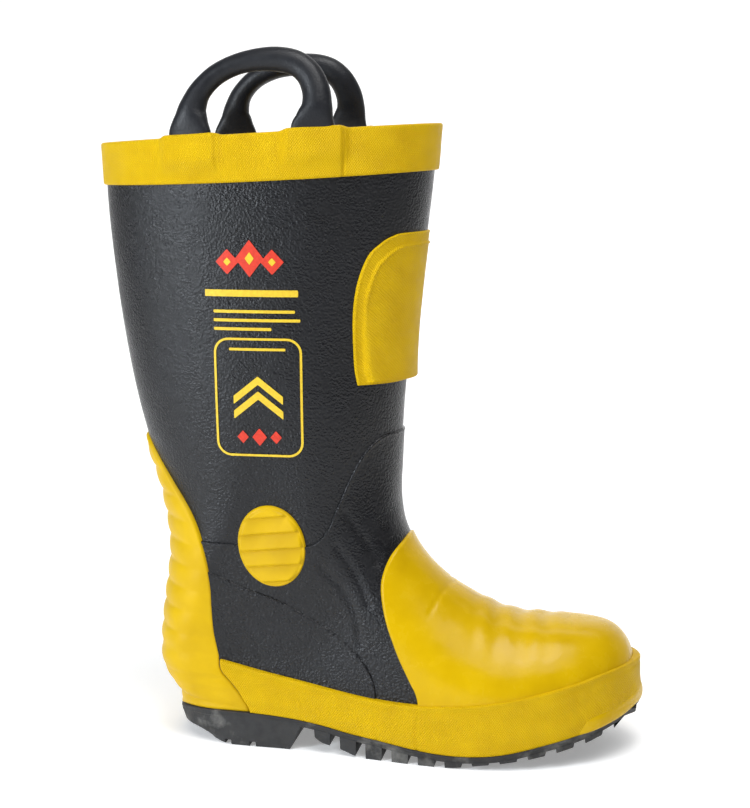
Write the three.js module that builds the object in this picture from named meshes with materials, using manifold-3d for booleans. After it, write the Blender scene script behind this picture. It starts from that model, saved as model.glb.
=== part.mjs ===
// A right firefighter's rubber boot, in millimetres, with +X towards the toe, +Y towards the
// inner (medial) side and +Z up. The design frame has x = 0 near the heel's rearmost point and
// z = 0 on the ground; the finished group is shifted so that its box's bottom centre is the origin.
import * as THREE from "three";
import { mergeVertices } from "three/addons/utils/BufferGeometryUtils.js";
import Module from "manifold-3d";

const wasm = await Module();
wasm.setup();

// ---------------------------------------------------------------- driving dimensions
const GAP = 0.3; // clearance between touching pieces
const AROUND = 18; // columns of the boot surface around a section
const FAR = 400; // reach of a cutting prism

// Offsets from the outer face of the black rubber upper, outwards positive
const UPPER_IN = -2.4;
const MIDDLE = [-4.5, -2.7]; // felt, steel toe cap, counter and insole board
const LINING = [-7.2, -5.0];
const QUARTER = [0.3, 1.0]; // black heel quarter overlay
const GUARD_IN = 1.3; // inner face of every yellow guard
const TOE_GUARD_OUT = 3.3;
const FOXING_OUT = 4.0;
const HEEL_GUARD_OUT = 4.0;
const HEEL_RIB_OUT = 5.2;
const DISC_OUT = 3.0;
const DISC_RIB_OUT = 4.0;
const SOLE_OUT = 4.4; // outsole edge beyond the feather line
const BUMPER = [4.3, 5.6];

const RIM_BAND = { out: 2.3, channelOut: 0.3, channelIn: -7.5, inside: -8.8, above: 1.6 };
const TAB = { halfWidth: 13, low: 20, inside: 0.5, outside: 4.0, cover: 1.7 };
const HANDLE = {
  roots: [39, 112], // x of the two root centres
  planeY: 54, // distance of the handle plane from the boot's centre plane
  lean: 7, // the crown leans inwards by this much
  knuckle: 6.5, // radius about the hinge axis
  clearance: 0.4,
  lip: 4, // the socket's lips stop this far below the axis
  aboveRim: 10.5,
};
const STEEL = { thickness: 0.8, inset: -6 };
const INSOLE = { low: 5, high: 15.5, side: -11, back: 30, front: 286 };
const BOARD = { top: 6.2, front: 292, lastingMargin: -15 };
const FELT_TOP = [[-60, 364], [220, 380]]; // the felt ends below this line
const CAP_EDGE = [[239, 20], [236, 60], [240, 100]]; // rear edge of the steel toe cap
const CAP_STRIP = 7; // width of the soft strip along that edge
const CORE_TOP = 12.4; // height above the sole's top up to which a wrap's core is filled
const WRAP_OVERLAP = 7; // height above the sole's top where a wrap follows the upper
const BUMPER_TOP = 8.5;
const BUMPER_BACK = 272;
const TREAD = {
  depth: 4, pitch: 16.5, first: 108, count: 12, length: 10.5, toeLength: 20,
  sides: [[-80, -22], [24, 80]], // y ranges of the side lugs
  centre: { back: -8, front: 3, y: [-16, 18] },
};
const HEEL_BLOCK = [[24, 0], [92, 0], [101, 19.5], [40, 19.5], [10, 19.5], [13, 8], [17, 3.5]];
const HEEL_GROOVES = { xs: [34, 50, 66], width: 5, depth: 3, shift: 4, inner: 10 };
const ANKLE_DISC = { centre: [82, 128.6], half: [21.4, 25.7], tilt: -0.14, ribPitch: 10, ribHalf: 3.6, rim: 2.5 };
const SHIN = {
  halfWidth: 41.1, low: 228, high: 318.5, front: [110, 260],
  plate: 2.2, crown: [2.8, 7.4], pocket: [1.6, 5.6], // thicknesses at the top and at the bottom
  crownInset: { side: 3.3, top: 7, bottom: 2 },
  pocketInset: { side: 5, top: 9, bottom: 4.5 },
  foamInset: { side: 5.4, top: 9.4, bottom: 4.9 },
};

// Stations from the toe tip over the foot and up the leg. A section runs from the front point
// to the back (or sole) point in the side view. wf and wb are its half-widths near those ends,
// rf and rb the shares of its length that round off, pf and pb how square the rounding is, and
// yc is the sideways shift of its middle.
const STATIONS = [
  // front x, z   back x, z      wf    wb    rf    rb    pf   pb   yc
  [300.0, 46.0, 300.0, 36.0, 0.0, 0.0, 0.6, 0.3, 2.3, 2.6, 8.5],
  [298.4, 55.5, 298.4, 34.8, 10.5, 11.2, 0.6, 0.26, 2.3, 3.0, 8.5],
  [293.2, 67.5, 293.2, 32.6, 20.4, 21.2, 0.6, 0.18, 2.3, 3.8, 8.1],
  [283.6, 75.6, 283.6, 29.3, 30.8, 31.6, 0.63, 0.14, 2.3, 4.5, 7.0],
  [268.0, 79.0, 268.0, 24.2, 39.8, 40.5, 0.66, 0.11, 2.3, 5.0, 4.8],
  [248.0, 80.4, 248.0, 19.3, 46.2, 46.8, 0.7, 0.1, 2.2, 5.0, 2.4],
  [225.0, 82.8, 225.0, 14.2, 49.8, 50.5, 0.75, 0.09, 2.1, 5.0, 0.0],
  [201.0, 92.0, 200.0, 12.3, 48.0, 49.5, 0.7, 0.08, 2.0, 5.0, -2.0],
  [182.0, 104.0, 174.0, 13.8, 44.5, 46.0, 0.62, 0.07, 2.0, 5.0, -3.0],
  [167.0, 120.0, 148.0, 17.0, 41.0, 41.0, 0.55, 0.065, 2.0, 5.0, -3.5],
  [158.5, 136.5, 120.0, 21.5, 39.0, 36.5, 0.5, 0.06, 2.0, 5.0, -3.3],
  [155.3, 151.0, 92.0, 24.5, 39.0, 33.8, 0.46, 0.055, 2.0, 5.0, -2.2],
  [154.6, 164.0, 62.0, 26.0, 40.6, 33.0, 0.42, 0.055, 2.0, 5.0, -1.0],
  [154.9, 175.0, 32.0, 25.6, 42.2, 32.5, 0.4, 0.09, 2.0, 4.2, -0.2],
  [155.3, 185.0, 10.8, 36.0, 43.1, 33.0, 0.39, 0.16, 2.0, 2.5, 0.0],
  [155.8, 195.0, 5.2, 55.0, 44.1, 34.2, 0.4, 0.19, 2.0, 2.1, 0.0],
  [156.4, 205.5, 7.6, 84.0, 45.3, 36.5, 0.41, 0.25, 2.0, 2.0, 0.0],
  [157.2, 218.0, 11.3, 120.0, 46.8, 41.2, 0.43, 0.34, 2.0, 2.0, 0.0],
  [158.9, 236.0, 6.5, 155.0, 48.6, 45.6, 0.45, 0.41, 2.0, 2.0, 0.0],
  [162.0, 259.0, -5.0, 190.0, 50.6, 49.6, 0.48, 0.47, 2.0, 2.0, 0.0],
  [166.5, 289.0, -14.3, 229.0, 52.4, 52.2, 0.5, 0.5, 2.05, 2.05, 0.0],
  [171.0, 322.0, -22.0, 277.0, 53.8, 53.8, 0.5, 0.5, 2.1, 2.1, 0.0],
  [174.8, 354.0, -27.2, 328.0, 55.1, 55.1, 0.5, 0.5, 2.1, 2.1, 0.0],
  [177.5, 381.0, -29.0, 369.0, 56.0, 56.0, 0.5, 0.5, 2.1, 2.1, 0.0],
];
const ROWS = STATIONS.length - 1;

// Feather line: the outline of the upper where it meets the sole, seen from above
const FEATHER = [
  [16.5, 0], [22.3, -18.4], [37.6, -30.1], [62, -33.4], [92, -35.4], [120, -39.6], [150, -45.2],
  [178, -49.6], [203, -51.6], [228, -49.9], [252, -43.2], [272, -33.2], [286, -20.5], [295.5, -6],
  [300, 8.5], [296.5, 22], [288, 33], [275, 41.5], [254, 48.2], [230, 50.6], [205, 48.6],
  [178, 43.6], [150, 37.2], [120, 33.0], [92, 31.4], [62, 31.8], [37.6, 30.1], [22.3, 18.4],
];

// Side-view lines, as [x, z]
const SOLE_TOP = [
  [4, 12.5], [14, 16], [24, 20], [36, 21.5], [66, 21.5], [92, 20], [112, 17.8], [131, 14.6],
  [151, 12.2], [170, 9.6], [188, 8], [206, 8], [225, 9.9], [248, 14.9], [270, 20.2], [288, 25.8],
  [299, 30.6], [314, 36],
];
const FOREPART_GROUND = [
  [104, 13], [112, 6.8], [122, 4.6], [138, 0], [150, 0], [190, 0], [206, 2], [228, 4.8],
  [250, 8.6], [272, 14], [290, 20], [302, 25.5], [316, 33],
];
const FOXING_TOP = [
  [46, 54.5], [74, 48.8], [100, 44.2], [126, 40], [150, 37.3], [173, 37], [194, 38.6],
  [212, 40.6], [241, 45.8], [263, 51], [284, 56.2], [312, 60],
];
const HEEL_SEAM = [[47, 56], [47.8, 47.6], [55, 39.2], [60.8, 32.2], [65.7, 24], [67.5, 14]];
const TOE_GUARD_EDGE = [
  [174, 30], [172.8, 40.7], [167.9, 50.8], [161.6, 63], [156.8, 74], [153, 84], [150.1, 95.1],
  [148.7, 106.3], [150, 115], [153.4, 123.6], [159, 130.9], [168, 139],
];
const HEEL_GUARD_EDGE = [
  [-12, 200], [-1, 187.1], [7.6, 175.4], [16.4, 164], [24.6, 153.8], [30.8, 144.5], [36, 133],
  [40.5, 117.4], [42.6, 100], [42.9, 87], [43.9, 72.4], [45.8, 62], [47, 56],
];
const ANKLE_SEAM = [
  [-40, 131], [38.1, 129.3], [62.5, 128], [84, 127.6], [106.2, 130.5], [116.1, 139.2],
  [122.1, 153.4], [129.7, 171.5], [137.5, 186.2], [147, 195.5], [200, 197.5],
];
const QUARTER_EDGE = [
  [40, 111], [63.1, 101.6], [85.6, 94.1], [107.4, 83], [126.1, 71.7], [138.5, 60.2],
  [147.4, 45.8], [148, 30],
];
const BAND_LOW = [[-60, 343], [220, 356.6]];
const HEEL_RIBS = [164, 147, 130, 113, 96, 79, 62]; // z of each rib's crown

// Handle centre line from root to root in its own plane, and half-thickness along it
const HANDLE_LINE = [
  [38.8, 384.2, 13], [39.6, 391.5, 8.8], [44.6, 401.4, 7], [54.5, 410.6, 6.4], [69.2, 417, 6.3],
  [86, 419.3, 6.9], [99.3, 417, 7.3], [108.1, 410.8, 7.7], [112.9, 401.8, 8.2], [114, 393.8, 9.3],
  [112.2, 388.4, 13],
];
const HANDLE_DEPTH = 6.6; // half-thickness across the plane

// ---------------------------------------------------------------- colours
const FINISH = {
  blackRubber: { color: 0x26272b, roughness: 0.55, metalness: 0 },
  yellowRubber: { color: 0xf2c200, roughness: 0.5, metalness: 0 },
  soleRubber: { color: 0x2c2d30, roughness: 0.75, metalness: 0 },
  sponge: { color: 0x6b6257, roughness: 0.95, metalness: 0 },
  felt: { color: 0x8a8578, roughness: 1, metalness: 0 },
  cotton: { color: 0xb9b4a4, roughness: 0.95, metalness: 0 },
  steel: { color: 0x9a9ea3, roughness: 0.35, metalness: 1 },
  board: { color: 0x8c6b48, roughness: 0.9, metalness: 0 },
};

// ---------------------------------------------------------------- the boot surface
const clamp01 = (v) => Math.min(1, Math.max(0, v));
const smooth = (v) => clamp01(v) ** 2 * (3 - 2 * clamp01(v));

// Station values at a fractional row, by Catmull-Rom interpolation.
function station(row) {
  const i = Math.min(ROWS - 1, Math.max(0, Math.floor(row)));
  const f = row - i;
  const at = (k) => STATIONS[Math.min(ROWS, Math.max(0, k))];
  const [a, b, c, d] = [at(i - 1), at(i), at(i + 1), at(i + 2)];
  return b.map((v, k) => 0.5 * (2 * v + (c[k] - a[k]) * f
    + (2 * a[k] - 5 * v + 4 * c[k] - d[k]) * f * f
    + (3 * v - a[k] - 3 * c[k] + d[k]) * f * f * f));
}

const roundOff = (u, p) => (1 - (1 - clamp01(u)) ** p) ** (1 / p);

// A point of the upper's outer face. The angle is 0 on the front ridge, half a turn on the back.
function surface(row, angle) {
  const [fx, fz, bx, bz, wf, wb, rf, rb, pf, pb, yc] = station(row);
  const t = (1 - Math.cos(angle)) / 2;
  const mix = smooth((t - 0.2) / 0.6);
  const front = Math.max(0, wf) * roundOff(t / rf, pf);
  const back = Math.max(0, wb) * roundOff((1 - t) / rb, pb);
  const half = (front * (1 - mix) + back * mix) * Math.sign(Math.sin(angle));
  return new THREE.Vector3(fx + (bx - fx) * t, yc - half, fz + (bz - fz) * t);
}

function surfaceNormal(row, fullAngle) {
  const e = 0.02;
  const angle = row === 0 && fullAngle > Math.PI ? 2 * Math.PI - fullAngle : fullAngle;
  const low = Math.max(0, row - e);
  const high = Math.min(ROWS, row + e);
  const along = surface(high, angle).sub(surface(low, angle));
  const across = surface(row === 0 ? e : row, angle + e).sub(surface(row === 0 ? e : row, angle - e));
  const normal = along.cross(across).normalize();
  if (row === 0) normal.y = 0; // both sides meet on one line at the toe tip
  return normal.normalize();
}

// Points of the surface with the directions in which they move when it is offset. On the sharp
// feather corner that direction is the sum of the side's and the sole's normals, so that both
// faces keep their distance.
const RIM_UP = new THREE.Vector3(-12, 0, 206.5).normalize();
const COLUMN_ANGLE = (2 * Math.PI) / AROUND;
const SOLE_COLUMN = AROUND / 2;
const grid = [];
for (let i = 0; i <= ROWS; i++) {
  const ring = [];
  for (let j = 0; j < AROUND; j++)
    ring.push([surface(i, j * COLUMN_ANGLE), surfaceNormal(i, j * COLUMN_ANGLE)]);
  for (let j = 1; i === 0 && j < SOLE_COLUMN; j++) ring[AROUND - j] = ring[j];
  if (i === ROWS) // the rim is cut flat
    for (const point of ring) point[1].addScaledVector(RIM_UP, -point[1].dot(RIM_UP)).normalize();
  if (STATIONS[i][9] > 4)
    for (const turn of [-1, 1])
      ring[SOLE_COLUMN + turn][1] = ring[SOLE_COLUMN + 2 * turn][1].clone().add(ring[SOLE_COLUMN][1]);
  grid.push(ring);
}

// The closed volume inside the boot surface moved outwards by offset (a number, or a function of
// the surface point), its open top raised above the rim.
function volume(offset, above = 0) {
  const amount = typeof offset === "function" ? offset : () => offset;
  const rows = grid.map((ring) => ring.map(([p, n]) => p.clone().addScaledVector(n, amount(p))));
  const rim = rows[ROWS].map((p, j) => {
    const rise = p.clone().sub(rows[ROWS - 1][j]);
    return p.clone().addScaledVector(rise, above / rise.dot(RIM_UP));
  });
  if (above) rows.push(rim);
  const vertices = rows.flat();
  const centre = new THREE.Vector3();
  rows[rows.length - 1].forEach((p) => centre.addScaledVector(p, 1 / AROUND));
  vertices.push(centre);
  const faces = [];
  const id = (i, j) => i * AROUND + (j % AROUND);
  for (let i = 0; i < rows.length - 1; i++)
    for (let j = 0; j < AROUND; j++) {
      faces.push(id(i, j), id(i + 1, j), id(i, j + 1));
      faces.push(id(i + 1, j), id(i + 1, j + 1), id(i, j + 1));
    }
  for (let j = 0; j < AROUND; j++)
    faces.push(vertices.length - 1, id(rows.length - 1, j + 1), id(rows.length - 1, j));
  const geometry = new THREE.BufferGeometry().setFromPoints(vertices).setIndex(faces);
  return solid(geometry);
}

// ---------------------------------------------------------------- solids and cutters
function solid(geometry) {
  geometry.deleteAttribute("normal");
  geometry.deleteAttribute("uv");
  const merged = mergeVertices(geometry, 1e-3);
  return new wasm.Manifold(new wasm.Mesh({
    numProp: 3,
    vertProperties: merged.attributes.position.array,
    triVerts: new Uint32Array(merged.index.array),
  }));
}

const vectors = (points) => points.map(([a, b]) => new THREE.Vector2(a, b));
const spline = (points, steps = points.length) => new THREE.SplineCurve(vectors(points)).getPoints(steps);
const raised = (points, by) => points.map(([x, z]) => [x, z + by]);

// A prism along Y from a side-view outline.
function sidePrism(outline, y0 = -FAR / 2, y1 = FAR / 2) {
  const geometry = new THREE.ExtrudeGeometry(new THREE.Shape(outline), { depth: y1 - y0, bevelEnabled: false });
  return solid(geometry.rotateX(Math.PI / 2).translate(0, y1, 0));
}

// A prism along Z from an outline seen from above.
function planPrism(outline, z0, z1) {
  const geometry = new THREE.ExtrudeGeometry(new THREE.Shape(outline), { depth: z1 - z0, bevelEnabled: false });
  return solid(geometry.translate(0, 0, z0));
}

// A prism along X from an outline of [y, z] seen from the front.
function frontPrism(outline, x0, x1) {
  const geometry = new THREE.ExtrudeGeometry(new THREE.Shape(outline), { depth: x1 - x0, bevelEnabled: false });
  return solid(geometry.rotateX(Math.PI / 2).rotateZ(Math.PI / 2).translate(x0, 0, 0));
}

function box(x0, x1, y0, y1, z0, z1) {
  const geometry = new THREE.BoxGeometry(x1 - x0, y1 - y0, z1 - z0);
  return solid(geometry.translate((x0 + x1) / 2, (y0 + y1) / 2, (z0 + z1) / 2));
}

// Everything above (or below) a side-view line that runs from left to right.
function above(points) {
  const line = spline(points);
  return sidePrism([...line, new THREE.Vector2(line.at(-1).x, FAR * 2), new THREE.Vector2(line[0].x, FAR * 2)]);
}
function below(points) {
  const line = spline(points);
  return sidePrism([new THREE.Vector2(line[0].x, -FAR), new THREE.Vector2(line.at(-1).x, -FAR), ...line.reverse()]);
}

const layer = (inside, outside) => volume(outside).subtract(volume(inside, 5));

// The feather line moved outwards, as a closed outline.
function featherOutline(offset) {
  const points = FEATHER.map(([x, y]) => new THREE.Vector3(x, y, 0));
  const curve = new THREE.CatmullRomCurve3(points, true, "catmullrom", 0.5);
  const count = 40;
  const outline = [];
  for (let k = 0; k < count; k++) {
    const p = curve.getPoint(k / count);
    const along = curve.getTangent(k / count);
    outline.push(new THREE.Vector2(p.x + along.y * offset, p.y - along.x * offset));
  }
  return outline;
}

// A sole-shaped slab between two side-view lines.
function soleSlab(offset, low, high) {
  return planPrism(featherOutline(offset), -10, 90).intersect(above(low)).intersect(below(high));
}

// Bottom of the upper in the side view, from heel to toe
const UNDERSIDE = STATIONS.slice(0, 15).map((s) => [s[2], s[3]]).reverse();
const undersideLine = (by) => [[-20, UNDERSIDE[0][1] + by], ...raised(UNDERSIDE, by), [330, 44 + by]];

const insoleLine = (by) => undersideLine(by).filter(([x], i) => i === 0 || x > 20);

// ---------------------------------------------------------------- the pieces
const boot = new THREE.Group();
const materials = Object.fromEntries(
  Object.entries(FINISH).map(([name, values]) => [name, new THREE.MeshStandardMaterial(values)]));

const largest = (shape) => shape.decompose().sort((a, b) => b.volume() - a.volume())[0];

// Adds a piece, without any loose crumbs that a cut left.
function add(name, material, shape) {
  const mesh = largest(shape).getMesh();
  const geometry = new THREE.BufferGeometry();
  const count = mesh.numVert;
  const positions = new Float32Array(count * 3);
  for (let i = 0; i < count; i++)
    positions.set(mesh.vertProperties.subarray(i * mesh.numProp, i * mesh.numProp + 3), i * 3);
  geometry.setAttribute("position", new THREE.BufferAttribute(positions, 3));
  geometry.setIndex(new THREE.BufferAttribute(new Uint32Array(mesh.triVerts), 1));
  geometry.computeVertexNormals();
  const piece = new THREE.Mesh(geometry, materials[material]);
  piece.name = name;
  boot.add(piece);
}

// Black rubber shell in two parts, joined along the ankle seam.
function makeUpper() {
  const shell = layer(UPPER_IN, 0);
  const leg = above(ANKLE_SEAM);
  const seam = above(raised(ANKLE_SEAM, -GAP));
  add("leg_upper", "blackRubber", shell.intersect(leg));
  const lastingOpening = planPrism(featherOutline(BOARD.lastingMargin), -10, 60);
  add("foot_upper", "blackRubber", shell.subtract(seam).subtract(lastingOpening));
  const quarter = layer(QUARTER[0], QUARTER[1])
    .intersect(below(QUARTER_EDGE)).intersect(above(raised(FOXING_TOP, -8)))
    .subtract(behindHeelEdge(GAP - 8));
  const [inner, outer] = splitSides(quarter);
  add("heel_quarter_lateral", "blackRubber", outer);
  add("heel_quarter_medial", "blackRubber", inner);
}

// A shape that straddles the centre plane, cut into its medial and lateral parts.
function splitSides(shape) {
  return [shape.intersect(box(-FAR, FAR, 1, FAR, -FAR, FAR * 2)), shape.intersect(box(-FAR, FAR, -FAR, -1, -FAR, FAR * 2))];
}

// Everything behind the heel guard's front edge, which may be moved forwards.
function behindHeelEdge(by) {
  const edge = spline([...HEEL_GUARD_EDGE, ...HEEL_SEAM.slice(1)], 40).map((p) => new THREE.Vector2(p.x + by, p.y));
  const reach = [[-FAR, -20], [-FAR, 200]];
  return sidePrism([...edge, ...vectors(reach)]);
}

// Felt, steel and board between the shell and the lining.
function makeMiddleLayer() {
  const middle = layer(...MIDDLE);
  const board = middle.intersect(below(undersideLine(BOARD.top)));
  add("insole_board", "board", board.intersect(box(-FAR, BOARD.front, -FAR, FAR, 0, 100)));
  const wall = middle.intersect(above(undersideLine(BOARD.top + GAP)));
  const cut = (by) => sidePrism([...spline(CAP_EDGE.map(([x, z]) => [x + by, z])),
    ...vectors([[FAR, 100], [FAR, 20]])]);
  add("steel_toe_cap", "steel", wall.intersect(cut(0)));
  add("toe_cap_edge_strip", "blackRubber", wall.intersect(cut(-CAP_STRIP)).subtract(cut(-GAP)));
  const counterShape = (by) => sidePrism(spline([[-20, 20], [76 + by, 20], [70 + by, 60],
    [52 + by, 82 + by], [20, 90 + by], [-20, 92 + by]], 24));
  add("heel_counter", "board", wall.intersect(counterShape(0)));
  const felt = wall.subtract(cut(-CAP_STRIP - GAP)).subtract(counterShape(GAP));
  add("insulation_felt", "felt", felt.subtract(above(FELT_TOP)));
}

function makeInside() {
  const toeEnd = box(260, FAR, -FAR, FAR, 0, 100);
  const lining = layer(...LINING).subtract(layer(...MIDDLE).intersect(toeEnd));
  add("lining", "cotton", lining);
  const insole = soleSlab(INSOLE.side, insoleLine(INSOLE.low), insoleLine(INSOLE.high))
    .intersect(box(INSOLE.back, INSOLE.front, -FAR, FAR, 0, 200))
    .intersect(volume(LINING[0]).translate(0, 0, 0.5));
  add("removable_insole", "felt", insole);
}

// Steel plate and midsole between the upper and the outsole.
function makeMidsole() {
  const plateTop = GAP + STEEL.thickness;
  add("steel_midsole_plate", "steel",
    soleSlab(STEEL.inset, raised(SOLE_TOP, GAP), raised(SOLE_TOP, plateTop)));
  const midsole = soleSlab(0.5, raised(SOLE_TOP, plateTop + GAP), raised(SOLE_TOP, 12))
    .subtract(volume(GAP));
  add("midsole", "sponge", midsole);
}

// Outsole with side and centre lugs, and a heel block with grooves.
function makeOutsole() {
  const base = soleSlab(SOLE_OUT, raised(SOLE_TOP, -TREAD.depth), SOLE_TOP);
  const footprint = planPrism(featherOutline(SOLE_OUT), -10, 60);
  const underBase = below(raised(SOLE_TOP, 1 - TREAD.depth));
  const ground = box(-FAR, FAR, -FAR, FAR, 0, 100);
  const treads = above(FOREPART_GROUND).intersect(underBase).intersect(footprint).intersect(ground);
  let sole = base;
  for (let k = 0; k < TREAD.count; k++) {
    const x = TREAD.first + k * TREAD.pitch;
    const atToe = k === TREAD.count - 1;
    const length = atToe ? TREAD.toeLength : TREAD.length;
    for (const edge of TREAD.sides)
      sole = sole.add(treads.intersect(box(x, x + length, ...edge, -5, 60)));
    const { back, front, y } = TREAD.centre;
    if (k > 1 && !atToe) sole = sole.add(treads.intersect(box(x + back, x + front, ...y, -5, 60)));
  }
  let block = sidePrism(vectors(HEEL_BLOCK))
    .intersect(planPrism(featherOutline(SOLE_OUT), -5, 30)).intersect(below(raised(SOLE_TOP, -0.01)));
  const { xs, width, depth, shift, inner } = HEEL_GROOVES;
  for (const x of xs) {
    block = block.subtract(box(x, x + width, -FAR, -inner, -1, depth));
    block = block.subtract(box(x + shift, x + shift + width, inner, FAR, -1, depth));
  }
  add("outsole", "soleRubber", sole.add(block));
}

// What a wrapped strip covers: the upper, and the sole's edge below it.
const wrapCore = () => volume(GUARD_IN)
  .add(soleSlab(0.8, raised(SOLE_TOP, -1), raised(SOLE_TOP, CORE_TOP)));

// Yellow foxing band round the foot, and the bumper strip on the toe.
function makeFoxing() {
  const skin = (out) => volume(out).intersect(above(raised(SOLE_TOP, WRAP_OVERLAP)))
    .add(soleSlab(out, raised(SOLE_TOP, GAP), raised(SOLE_TOP, 10)));
  const region = below(FOXING_TOP).intersect(above(raised(SOLE_TOP, GAP)));
  const foxing = skin(FOXING_OUT).intersect(region).subtract(wrapCore()).subtract(behindHeelEdge(GAP));
  add("foxing_band", "yellowRubber", foxing);
  const toe = box(BUMPER_BACK, FAR, -FAR, FAR, 0, 100);
  const bumper = skin(BUMPER[1]).subtract(skin(BUMPER[0])).subtract(volume(BUMPER[0]))
    .intersect(below(raised(SOLE_TOP, BUMPER_TOP))).intersect(toe);
  add("toe_bumper", "yellowRubber", bumper);
}

function makeToeGuard() {
  const region = sidePrism([...spline(TOE_GUARD_EDGE, 24), ...vectors([[FAR, 139], [FAR, 20]])])
    .intersect(above(raised(FOXING_TOP, GAP)));
  add("toe_guard", "yellowRubber", layer(GUARD_IN, TOE_GUARD_OUT).intersect(region));
}

function makeHeelGuard() {
  const skirt = soleSlab(HEEL_GUARD_OUT, raised(SOLE_TOP, GAP), raised(SOLE_TOP, 10));
  const skin = volume(HEEL_GUARD_OUT).intersect(above(raised(SOLE_TOP, WRAP_OVERLAP)))
    .add(skirt.intersect(volume(HEEL_GUARD_OUT + 6)));
  const region = behindHeelEdge(0).intersect(above(raised(SOLE_TOP, GAP)));
  let guard = skin.subtract(wrapCore());
  const ribSkin = volume(HEEL_RIB_OUT).subtract(volume(HEEL_GUARD_OUT - 1));
  for (const z of HEEL_RIBS) guard = guard.add(ribSkin.intersect(box(-40, 60, -60, 60, z - 2.5, z + 2.5)));
  add("heel_guard", "yellowRubber", guard.intersect(region));
}

// Oval ribbed ankle guards, one each side.
function makeAnkleDiscs() {
  const { centre, half, tilt, ribPitch, ribHalf, rim } = ANKLE_DISC;
  const oval = (inset) => {
    const curve = new THREE.EllipseCurve(...centre, half[0] - inset, half[1] - inset, 0, 2 * Math.PI, false, tilt);
    return sidePrism(curve.getPoints(18).slice(0, -1));
  };
  let disc = layer(GUARD_IN, DISC_OUT).intersect(oval(0));
  const ribs = layer(GUARD_IN, DISC_RIB_OUT).intersect(oval(rim));
  for (let k = -2; k <= 2; k++) {
    const z = centre[1] + k * ribPitch;
    disc = disc.add(ribs.intersect(box(0, 200, -FAR, FAR, z - ribHalf, z + ribHalf)));
  }
  const [medial, lateral] = splitSides(disc);
  add("ankle_guard_lateral", "yellowRubber", lateral);
  add("ankle_guard_medial", "yellowRubber", medial);
}

// Shin guard with a raised, foam-filled centre that thickens towards its lower edge.
function makeShinGuard() {
  const outline = ({ side, top, bottom }) => {
    const w = SHIN.halfWidth - side;
    const low = SHIN.low + bottom;
    const high = SHIN.high - top;
    const half = [[w - 3.8, low], [w - 2.7, low + 8], [w - 1.8, low + 20], [w - 0.2, low + 42],
      [w, high - 30], [w - 1.5, high - 15], [w - 4.1, high - 8], [w - 9.7, high - 2], [w - 20, high]];
    return spline([...half, ...half.map(([y, z]) => [-y, z]).reverse()], 36);
  };
  const wedge = ([top, bottom], inner, inset) => {
    const down = (p) => clamp01((SHIN.high - p.z) / (SHIN.high - SHIN.low));
    const outside = volume((p) => top + (bottom - top) * down(p) ** 2);
    return outside.subtract(volume(inner, 5)).intersect(frontPrism(outline(inset), ...SHIN.front));
  };
  const rim = { side: 0, top: 0, bottom: 0 };
  const plate = layer(GAP, SHIN.plate).intersect(frontPrism(outline(rim), ...SHIN.front));
  const crown = wedge(SHIN.crown, GAP, SHIN.crownInset);
  add("shin_guard", "yellowRubber", plate.add(crown).subtract(wedge(SHIN.pocket, 0, SHIN.pocketInset)));
  const foamThickness = SHIN.pocket.map((thickness) => thickness - GAP);
  add("shin_guard_foam", "sponge", wedge(foamThickness, GAP, SHIN.foamInset));
}

// ---------------------------------------------------------------- rim band and handles
const rimZ = (x) => 381 - ((177.5 - x) * 12) / 206.5;
const rimSlope = Math.atan2(12, 206.5);

// A cylinder along the hinge axis, centred on a handle root.
function axisCylinder(x, side, radius, length) {
  const geometry = new THREE.CylinderGeometry(radius, radius, length, 20);
  geometry.rotateZ(Math.PI / 2).rotateY(-rimSlope);
  return solid(geometry.translate(x, side * HANDLE.planeY, rimZ(x) + HANDLE.aboveRim));
}

// A block that follows the slope of the rim, on one side of the boot.
function rimBlock(x, halfWidth, side, y0, y1, low, high) {
  const span = [x - halfWidth, x + halfWidth];
  const outline = [[span[0], rimZ(span[0]) + low], [span[1], rimZ(span[1]) + low],
    [span[1], rimZ(span[1]) + high], [span[0], rimZ(span[0]) + high]];
  return side < 0 ? sidePrism(vectors(outline), -y1, -y0) : sidePrism(vectors(outline), y0, y1);
}

function tabSolid(x, side) {
  const plate = layerTo(TAB.inside, TAB.outside, 12)
    .intersect(rimBlock(x, TAB.halfWidth, side, 30, 90, -TAB.low, HANDLE.aboveRim - HANDLE.lip));
  const head = rimBlock(x, TAB.halfWidth, side, HANDLE.planeY - 6.5, HANDLE.planeY + 5.5,
    RIM_BAND.above + GAP, HANDLE.aboveRim - HANDLE.lip);
  return plate.add(head).subtract(axisCylinder(x, side, HANDLE.knuckle + HANDLE.clearance, 60));
}

const layerTo = (inside, outside, top) => volume(outside, top).subtract(volume(inside, top + 5));

function makeRimBand() {
  const { out, channelOut, channelIn, inside, above: rise } = RIM_BAND;
  const ring = volume(out, rise).subtract(volume(inside, 10));
  const channel = volume(channelOut, GAP).subtract(volume(channelIn, 10));
  let band = ring.subtract(channel);
  for (const side of [-1, 1])
    for (const x of HANDLE.roots) {
      const cover = layerTo(channelOut, TAB.outside + TAB.cover, rise)
        .intersect(rimBlock(x, TAB.halfWidth + 2.5, side, 30, 90, -TAB.low - 3, rise));
      const space = layerTo(channelOut - 0.1, TAB.outside + GAP, 12)
        .intersect(rimBlock(x, TAB.halfWidth + GAP, side, 30, 90, -TAB.low - GAP, 12));
      band = band.add(cover).subtract(space);
    }
  add("rim_band", "yellowRubber", band.intersect(above(BAND_LOW)));
}

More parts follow.
